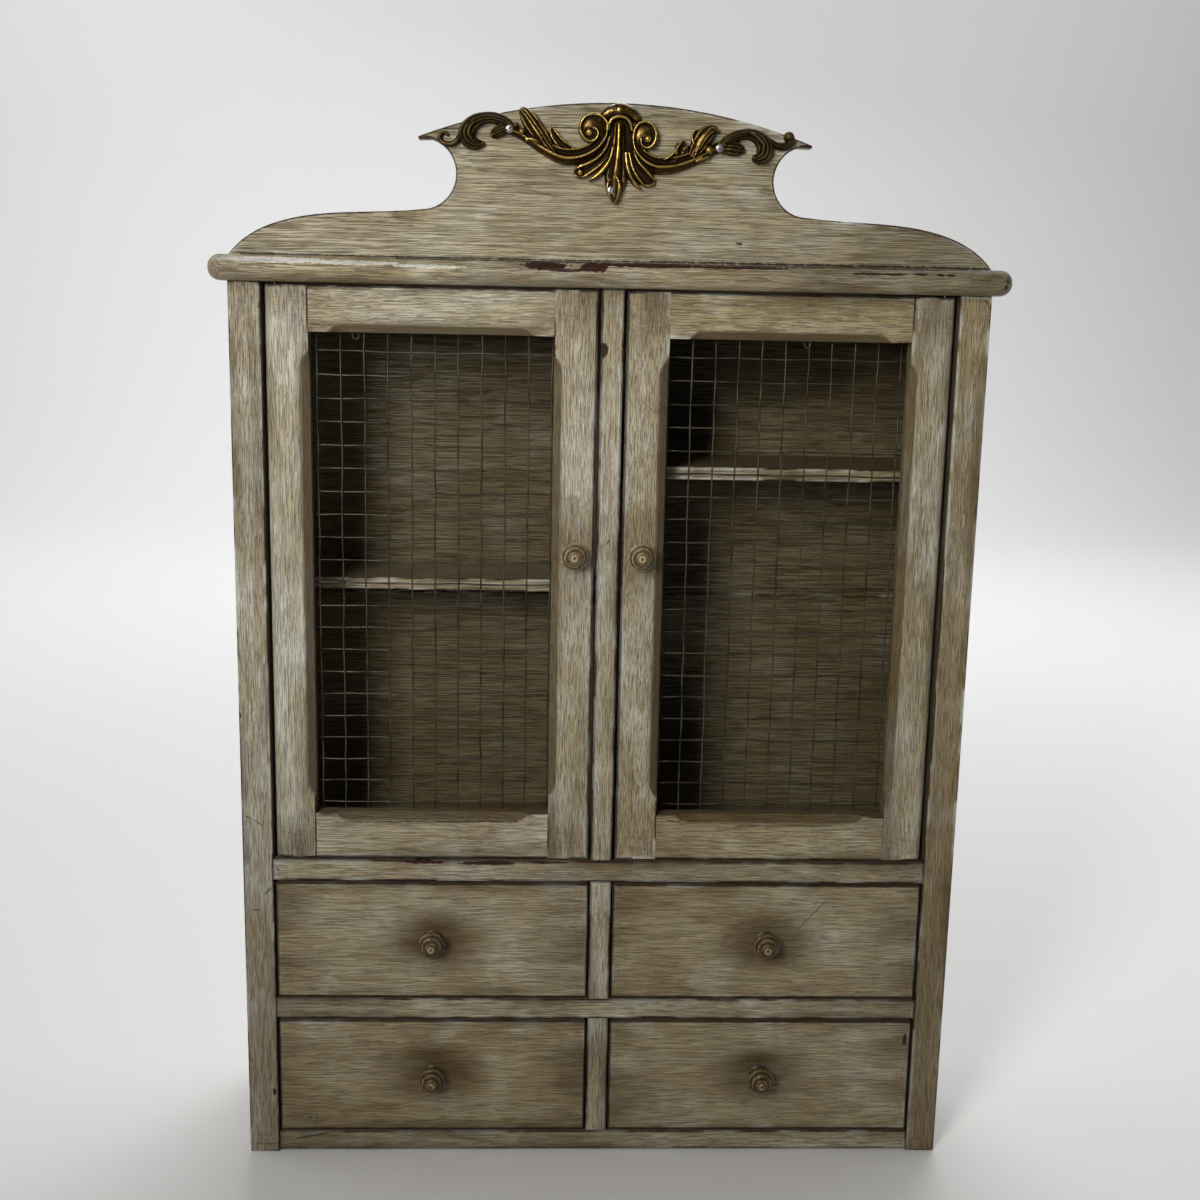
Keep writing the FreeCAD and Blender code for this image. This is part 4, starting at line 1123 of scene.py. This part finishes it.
right_strokes = (
    ("flute", ((140, 212, 60, 6.0), (136, 250, 72, 6.6), (132, 320, 80, 6.9), (127, 400, 92, 6.9),
               (119, 480, 110, 6.8), (110, 550, 136, 6.4), (103, 610, 146, 5.8), (97, 670, 124, 5.2),
               (92, 740, 70, 4.4), (90, 786, 12, 3.4))),
    ("blade", ((92, 596, 50, 6.2), (88, 640, 100, 6.6), (86, 690, 104, 6.4), (88, 745, 66, 5.4),
               (90, 792, 10, 4.0))),
    ("round", ((142, 176, 150, 2.6), (138, 260, 176, 2.8), (130, 360, 190, 2.8), (122, 460, 200, 2.8),
               (114, 540, 150, 2.6))),
    ("band", ((240, 320, 50, 6.0), (258, 396, 72, 6.2), (312, 464, 98, 6.4), (388, 508, 112, 6.6),
              (470, 516, 110, 6.6), (555, 504, 102, 6.4), (640, 478, 94, 6.0), (720, 446, 88, 5.6),
              (790, 412, 80, 5.4), (850, 386, 72, 5.0), (905, 366, 60, 4.8))),
    ("leaf", ((870, 388, 56, 4.6), (930, 334, 66, 5.0), (1010, 296, 66, 5.4), (1096, 288, 72, 5.8),
              (1166, 318, 90, 6.2), (1204, 372, 108, 6.4), (1200, 430, 110, 6.0), (1156, 462, 80, 5.4),
              (1112, 458, 28, 4.4))),
    ("round", ((1100, 282, 24, 6.6), (1150, 320, 30, 6.9), (1190, 366, 32, 6.9), (1186, 410, 22, 6.4))),
    ("round", ((1190, 302, 44, 4.6), (1246, 346, 46, 4.6), (1310, 376, 48, 4.6), (1366, 372, 52, 4.6),
               (1400, 340, 54, 4.8), (1388, 304, 60, 4.8), (1376, 288, 24, 4.2))),
    ("leaf", ((880, 392, 60, 4.4), (946, 386, 96, 5.2), (1010, 396, 92, 4.8), (1054, 412, 30, 4.0))),
    ("blade", ((930, 402, 40, 4.2), (940, 428, 26, 3.8), (944, 442, 8, 3.2))),
    ("blade", ((990, 404, 40, 4.2), (1000, 432, 26, 3.8), (1002, 446, 8, 3.2))),
    ("leaf", ((668, 456, 60, 5.4), (698, 402, 96, 6.2), (734, 342, 116, 6.6), (776, 290, 108, 6.2),
              (824, 258, 74, 5.4), (870, 268, 14, 4.2))),
    ("round", ((690, 420, 20, 6.6), (730, 350, 24, 6.9), (772, 292, 22, 6.6), (806, 262, 12, 5.8))),
    ("round", ((720, 400, 18, 6.4), (762, 336, 20, 6.7), (800, 292, 18, 6.2), (828, 274, 10, 5.4))),
    ("blade", ((706, 372, 44, 5.4), (684, 320, 42, 5.2), (692, 278, 26, 4.8), (716, 262, 8, 4.2))),
    ("blade", ((466, 492, 46, 5.4), (530, 460, 62, 5.8), (574, 412, 68, 5.6), (602, 366, 56, 5.0),
               (614, 332, 10, 4.0))),
    ("round", ((548, 436, 30, 5.2), (560, 392, 26, 5.0), (558, 344, 6, 4.0))),
    ("round", ((604, 400, 30, 5.0), (628, 382, 24, 4.6), (640, 366, 6, 3.8))),
    ("round", ((690, 488, 20, 5.4), (726, 470, 40, 5.8), (770, 456, 34, 5.4), (796, 444, 10, 4.6))),
    ("round", ((182, 420, 30, 5.4), (186, 500, 38, 6.0), (208, 580, 42, 6.0), (246, 646, 34, 5.2),
               (286, 684, 8, 4.2))),
    ("blade", ((222, 416, 46, 5.2), (246, 500, 72, 5.8), (292, 572, 98, 6.0), (342, 620, 96, 5.4),
               (394, 630, 34, 4.2))),
    ("round", ((206, 420, 20, 5.6), (224, 520, 26, 6.2), (262, 600, 28, 6.2), (312, 660, 12, 5.0))),
    ("round", ((140, 126, 110, 6.4), (190, 122, 90, 6.4), (238, 148, 76, 6.0), (272, 184, 52, 5.4),
               (296, 212, 14, 4.4))),
    ("round", ((140, 126, 110, 6.4), (92, 126, 84, 6.2), (50, 146, 70, 5.8), (18, 172, 46, 5.2),
               (-4, 196, 12, 4.4))),
    ("round", ((62, 262, 26, 6.0), (66, 214, 30, 6.6), (96, 178, 32, 6.9), (146, 166, 34, 6.9),
               (194, 182, 32, 6.9), (220, 222, 30, 6.6), (230, 268, 26, 6.0))),
)
right_bosses = ((146, 121, 58, 6.9, 0.4), (322, 300, 94, 5.2, 0.5), (344, 326, 40, 6.6, 0.3),
                (792, 406, 36, 6.4, 0.5), (906, 368, 16, 5.8, 0.5), (1384, 308, 38, 5.4, 0.5))
right_rims = (((238, 336, 24, 6.4), (246, 272, 26, 6.6), (276, 222, 26, 6.6), (326, 204, 26, 6.6),
               (376, 222, 26, 6.6), (402, 272, 26, 6.4), (400, 330, 26, 6.2), (372, 376, 26, 6.0),
               (330, 388, 24, 5.8), (296, 362, 22, 6.0), (296, 318, 20, 6.2)),)
sections = {"band": band_section, "leaf": leaf_section, "blade": blade_section, "round": round_section,
            "flute": flute_section}
boss_turns = 28
boss_rings = 7
boss_tip_share = 0.04
mount_steps = 5
stroke_share = 1.12
least_stroke = 4
mount_sink = 0.5
mount_voxel = 0.00034
mount_smoothing = 2
gilt_rubbed_and_highlight = srgb(192, 160, 86)
gilt_mid = srgb(74, 54, 22)
gilt_patina = srgb(26, 19, 8)
gilt_mottle_cycles = 620.0
gilt_rough_share = 0.6
gilt_blotch_cycles = 110.0
gilt_mottle_height = 0.4
gilt_blotch_height = 0.7
gilt_rubbed_and_highlight_fade = (0.58, 0.92)
gilt_hollow_fade = (0.52, 0.34)
gilt_floor_reach = (0.0005, 0.0045)
gilt_floor_fade = (0.55, 0.10)
gilt_dull_reach = (0.038, 0.062)
gilt_dull_wobble = 0.03
gilt_dull_share = 0.93
gilt_patina_share = 0.86
gilt_bump = 0.0003
gilt_bump_share = 0.4
gilt_roughness_shares = (0.28, 0.32)
gilt_specular_share = 0.5
gilt_metal_share = 0.85
ridge_spread = 14
ridge_height = 0.00005
flat_ridge_share = 0.5


def mount_point(across, up, depth):
    return Vector((across * millimetre, pediment_front_y - depth * millimetre,
                   cornice_high.z + up * millimetre))


def grid_place(grid, across, down):
    """Millimetres from the middle and up from the cornice, for a place on a drawing grid."""
    return tuple(corner + across * first + down * second
                 for corner, first, second in zip(grid["corner"], grid["across"], grid["down"]))


def sweep(vertices, faces, grid, stations, section, steps):
    """Carve one stroke of the mount: a section carried along its stations, flat against the board."""
    path = smooth_stations(stations, steps)
    places = [Vector(grid_place(grid, across, down)) for across, down, width, relief in path]
    rings = []
    for index, (place, station) in enumerate(zip(places, path)):
        run = (places[min(index + 1, len(places) - 1)] - places[max(index - 1, 0)]).normalized()
        side = Vector((-run.y, run.x)) * max(station[2] * stroke_share, least_stroke) * grid["unit"] / 2
        ring = []
        for share, rise in section:
            depth = rise * station[3] if rise else -mount_sink
            ring.append(mount_point(place.x + side.x * share, place.y + side.y * share, depth))
        rings.append(ring)
    loft(vertices, faces, rings)


def boss(vertices, faces, grid, across, down, radius, relief, flat_share):
    """A rounded boss: upright to a share of its relief and then domed."""
    middle = Vector(grid_place(grid, across, down))
    reach = radius * grid["unit"]
    profile = [(1.0, -mount_sink)]
    for step in range(boss_rings + 1):
        turn = math.pi / 2 * step / boss_rings
        rise = flat_share + (1 - flat_share) * math.sin(turn)
        profile.append((max(math.cos(turn), boss_tip_share), relief * rise))
    rings = [[mount_point(middle.x + reach * share * cosine, middle.y + reach * share * sine, rise)
              for cosine, sine in circle(boss_turns)] for share, rise in profile]
    loft(vertices, faces, rings)


def gilt_finish():
    """Rubbed gilding on the ridges, also a painted highlight, and brown patina in the hollows."""
    s = Shader("gilt_mount")
    ridge = s.add("ShaderNodeAttribute", attribute_name="ridge").outputs["Fac"]
    mottled = s.noise(s.place, gilt_mottle_cycles, broad_detail, gilt_rough_share)
    blotch = s.noise(s.place, gilt_blotch_cycles, broad_detail)
    high = s.plus(ridge, s.centred(mottled, gilt_mottle_height))
    depth = s.span(s.y, *[pediment_front_y - reach for reach in gilt_floor_reach])
    # Bright gold on the ridges: rubbed gilding together with a painted highlight
    rubbed = s.span(s.plus(high, s.centred(blotch, gilt_blotch_height)), *gilt_rubbed_and_highlight_fade)
    outer = s.plus(s.math("ABSOLUTE", s.x), s.centred(blotch, gilt_dull_wobble))
    dark = s.most(s.span(high, *gilt_hollow_fade), s.span(depth, *gilt_floor_fade),
                  s.times(s.span(outer, *gilt_dull_reach), gilt_dull_share))
    colour = s.mix(s.times(dark, gilt_patina_share), s.mix(rubbed, gilt_mid, gilt_rubbed_and_highlight), gilt_patina)
    s.bump(mottled, gilt_bump, gilt_bump_share)
    return s.finish(colour, s.rising(dark, *gilt_roughness_shares), gilt_specular_share, gilt_metal_share)


def mark_ridges(mesh):
    """Note on each point how far it stands proud of its neighbours, for the finish."""
    tidy = bmesh.new()
    tidy.from_mesh(mesh)
    tidy.verts.ensure_lookup_table()
    ridge = [0.0] * len(tidy.verts)
    for point in tidy.verts:
        near = [edge.other_vert(point).co for edge in point.link_edges]
        mean = sum(near, Vector()) / len(near)
        ridge[point.index] = (point.co - mean).dot(point.normal)
    for _ in range(ridge_spread):
        ridge = [(ridge[point.index] + sum(ridge[edge.other_vert(point).index] for edge in point.link_edges)
                  / len(point.link_edges)) / 2 for point in tidy.verts]
    tidy.free()
    layer = mesh.attributes.new("ridge", "FLOAT", "POINT")
    layer.data.foreach_set("value", [min(max(flat_ridge_share + value / ridge_height, 0.0), 1.0)
                                     for value in ridge])


def make_mount():
    vertices = []
    faces = []
    halves = ((left_grid, left_strokes, left_rims, left_bosses, 1),
              (right_grid, right_strokes, right_rims, right_bosses, -1))
    for grid, strokes, rims, bosses, turned_way in halves:
        for kind, stations in strokes:
            section = [(share * turned_way, rise) for share, rise in sections[kind]]
            sweep(vertices, faces, grid, stations, section, mount_steps)
        for rim in rims:
            sweep(vertices, faces, grid, rim, round_section, mount_steps)
        for place in bosses:
            boss(vertices, faces, grid, *place)
    mount = new_piece("gilt_mount", "carcass", "gilt_brass", vertices, faces, gilt_finish(),
                      "pediment_ornament")
    remesh = mount.modifiers.new("cast", "REMESH")
    remesh.mode = "VOXEL"
    remesh.voxel_size = mount_voxel
    remesh.use_smooth_shade = True
    soften_cast = mount.modifiers.new("soften", "SMOOTH")
    soften_cast.iterations = mount_smoothing
    cast = bpy.data.meshes.new_from_object(mount.evaluated_get(bpy.context.evaluated_depsgraph_get()))
    mount.modifiers.clear()
    mount.data = cast
    mark_ridges(cast)


# Screws of the mount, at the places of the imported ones, in millimetres
screw_places = ((-55.7, 66.35, 0.5), (53.8, 59.3, -0.7), (-2.4, 36.8, 1.2))
screw_radius = 2.2
screw_head = 1.1
screw_slot = 0.5
screw_floor_share = 0.45
screw_shank_share = 0.7
screw_tip = 0.1
screw_turns = 16
screw_dome_shares = ((0.1, 1.0), (0.45, 1.0), (0.75, 0.86), (0.92, 0.62), (1.0, 0.4))
screw_light = srgb(176, 174, 168)
screw_dark = srgb(92, 86, 76)
steel_light = srgb(96, 88, 74)
steel_dark = srgb(48, 40, 30)
steel_look = {"specular": 0.5, "metal": 0.9,
              "noises": {"scratch": ((400.0, 400.0, 3200.0),), "tarnish": ((700.0, 700.0, 700.0), 3.0)},
              "heights": (("scratch", 1.0),), "bump": (0.0001, 0.4), "roughness": ("tarnish", 0.14, 0.30)}
tarnish_fade = (0.45, 0.70)


def steel_finish(name, light, dark):
    """Steel with fine scratches and a little tarnish."""
    s = Shader(name)
    layers = (("tarnish", tarnish_fade, 1.0, dark),)
    return layered(s, s.place, {**steel_look, "base": light, "layers": layers})


def screw_half(centre, turn, way):
    """Rings of one half of a domed head, on one side of the slot."""
    rings = []
    for out_share, radius_share in screw_dome_shares:
        radius = screw_radius * radius_share
        ring = []
        for step in range(screw_turns + 1):
            angle = math.pi * step / screw_turns
            along = math.cos(angle) * radius
            away = way * (math.sin(angle) * (radius - screw_slot / 2) + screw_slot / 2)
            place = Vector((along * math.cos(turn) - away * math.sin(turn), -out_share * screw_head,
                            along * math.sin(turn) + away * math.cos(turn)))
            ring.append(centre + place * millimetre)
        rings.append(ring)
    return rings


def make_screws():
    """Domed heads, each in two halves with the slot between them, on a shank that goes into the board."""
    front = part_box("ornament_screws")[0].y
    vertices = []
    faces = []
    for across, up, turn in screw_places:
        centre = Vector((across * millimetre, front + screw_head * millimetre,
                         cornice_high.z + up * millimetre))
        depth = (pediment_front_y - centre.y) / millimetre + screw_head
        floor = screw_head * screw_floor_share
        shank = screw_radius * screw_shank_share
        profile = ((-depth, shank), (0.0, shank), (0.0, screw_radius), (floor, screw_radius),
                   (floor, screw_tip))
        turned(vertices, faces, centre, metres(profile), screw_turns * 2)
        for way in (1, -1):
            loft(vertices, faces, screw_half(centre, turn, way))
    new_piece("mount_screws", "carcass", "steel", vertices, faces,
              steel_finish("bright_steel", screw_light, screw_dark), "ornament_screws")


# Magnetic catches
plastic_light = srgb(168, 152, 122)
plastic_dark = srgb(128, 112, 86)
plastic_look = {"base": plastic_light, "specular": 0.45, "metal": 0.0,
                "noises": {"speck": ((800.0, 800.0, 800.0), 3.0), "scuff": ((2400.0, 300.0, 300.0),)},
                "layers": (("speck", (0.42, 0.66), 1.0, plastic_dark),),
                "heights": (("speck", 1.0), ("scuff", 0.5)), "bump": (0.0001, 0.5),
                "roughness": ("scuff", 0.25, 0.30)}


def plastic_finish():
    """Moulded plastic, a little yellowed, with fine scuffs."""
    s = Shader("catch_plastic")
    return layered(s, s.place, plastic_look)


def dress_fittings():
    steel = steel_finish("dull_steel", steel_light, steel_dark)
    for node in ("door_pivot_pins", "strike_plate_left", "strike_plate_right"):
        use_material(node, steel)
    use_material("catch_magnets", plastic_finish())


# Stage
floor_colour = srgb(248, 248, 248)
floor_roughness_share = 0.75
floor_specular_share = 0.2
floor_depth = (-4.0, 2.4)
floor_half_width = 9.0
sweep_radius = 1.0
sweep_height = 4.0
sweep_steps = 12


def make_stage():
    """A pale floor that sweeps up into a plain backdrop."""
    profile = [(floor_depth[0], 0.0), (floor_depth[1], 0.0)]
    for step in range(1, sweep_steps + 1):
        turn = math.pi / 2 * step / sweep_steps
        profile.append((floor_depth[1] + sweep_radius * math.sin(turn), sweep_radius * (1 - math.cos(turn))))
    profile.append((floor_depth[1] + sweep_radius, sweep_height))
    vertices = [(side * floor_half_width, y, z) for y, z in profile for side in (-1, 1)]
    faces = [(2 * i, 2 * i + 1, 2 * i + 3, 2 * i + 2) for i in range(len(profile) - 1)]
    mesh = bpy.data.meshes.new("studio_floor")
    mesh.from_pydata(vertices, [], faces)
    for face in mesh.polygons:
        face.use_smooth = True
    floor = bpy.data.objects.new("studio_floor", mesh)
    bpy.context.scene.collection.objects.link(floor)
    s = Shader("studio_floor")
    mesh.materials.append(s.finish(floor_colour, floor_roughness_share, floor_specular_share))


# Lights: name, place, aim, size, spread in degrees, power and tint
lights = (
    ("key", (-0.42, -0.95, 0.80), (-0.02, 0.0, 0.57), (0.28, 0.60), 86, 2.55, (1.0, 0.985, 0.955)),
    ("front", (0.9, -2.2, 1.3), (0.0, 0.0, 0.3), (1.6, 1.6), 180, 1.0, (0.97, 0.985, 1.0)),
    ("rear", (0.3, 1.5, 2.2), (0.0, 0.3, 0.0), (1.8, 1.8), 180, 36.0, (1.0, 1.0, 1.0)),
    ("side left", (-1.8, 0.6, 1.0), (-0.2, 0.0, 0.3), (1.2, 1.2), 180, 7.0, (1.0, 1.0, 1.0)),
    ("side right", (1.8, 0.6, 1.0), (0.2, 0.0, 0.3), (1.2, 1.2), 180, 7.0, (1.0, 1.0, 1.0)),
    ("backdrop left", (-1.7, 1.5, 2.6), (-0.9, 3.4, 1.0), (1.6, 1.6), 120, 18.0, (0.98, 1.0, 1.0)),
    ("backdrop right", (1.7, 1.5, 2.6), (0.9, 3.4, 1.0), (1.6, 1.6), 120, 8.5, (1.0, 1.0, 1.0)),
)
world_colour = (0.96, 0.94, 0.90, 1.0)
world_strength = 0.06


def make_lights():
    for name, place, aim, size, spread, power, colour in lights:
        data = bpy.data.lights.new(name, "AREA")
        data.shape = "RECTANGLE"
        data.size, data.size_y = size
        data.spread = math.radians(spread)
        data.energy = power
        data.color = colour
        lamp = bpy.data.objects.new(name, data)
        lamp.location = place
        lamp.rotation_euler = (Vector(aim) - Vector(place)).to_track_quat("-Z", "Y").to_euler()
        lamp.visible_camera = False
        bpy.context.scene.collection.objects.link(lamp)
    world = bpy.data.worlds.new("studio")
    world.use_nodes = True
    background = world.node_tree.nodes["Background"]
    background.inputs["Color"].default_value = world_colour
    background.inputs["Strength"].default_value = world_strength
    bpy.context.scene.world = world
    bpy.context.scene.view_settings.view_transform = "Standard"


def make_camera():
    data = bpy.data.cameras.new("camera")
    data.sensor_width = sensor_width
    data.lens = focal_pixels / image_pixels * sensor_width
    camera = bpy.data.objects.new("camera", data)
    forward = Vector((math.sin(camera_yaw) * math.cos(camera_pitch),
                      math.cos(camera_yaw) * math.cos(camera_pitch), -math.sin(camera_pitch)))
    level = Vector((math.cos(camera_yaw), -math.sin(camera_yaw), 0.0))
    below = forward.cross(level)
    right = level * math.cos(camera_roll) + below * math.sin(camera_roll)
    down = below * math.cos(camera_roll) - level * math.sin(camera_roll)
    turn = Matrix((right, -down, -forward)).transposed()
    camera.matrix_world = Matrix.Translation(camera_place) @ turn.to_4x4()
    bpy.context.scene.collection.objects.link(camera)
    bpy.context.scene.camera = camera


dress_carcass()
dress_doors()
dress_drawers()
make_knobs()
make_meshes()
make_mount()
make_screws()
dress_fittings()
make_stage()
make_lights()
make_camera()
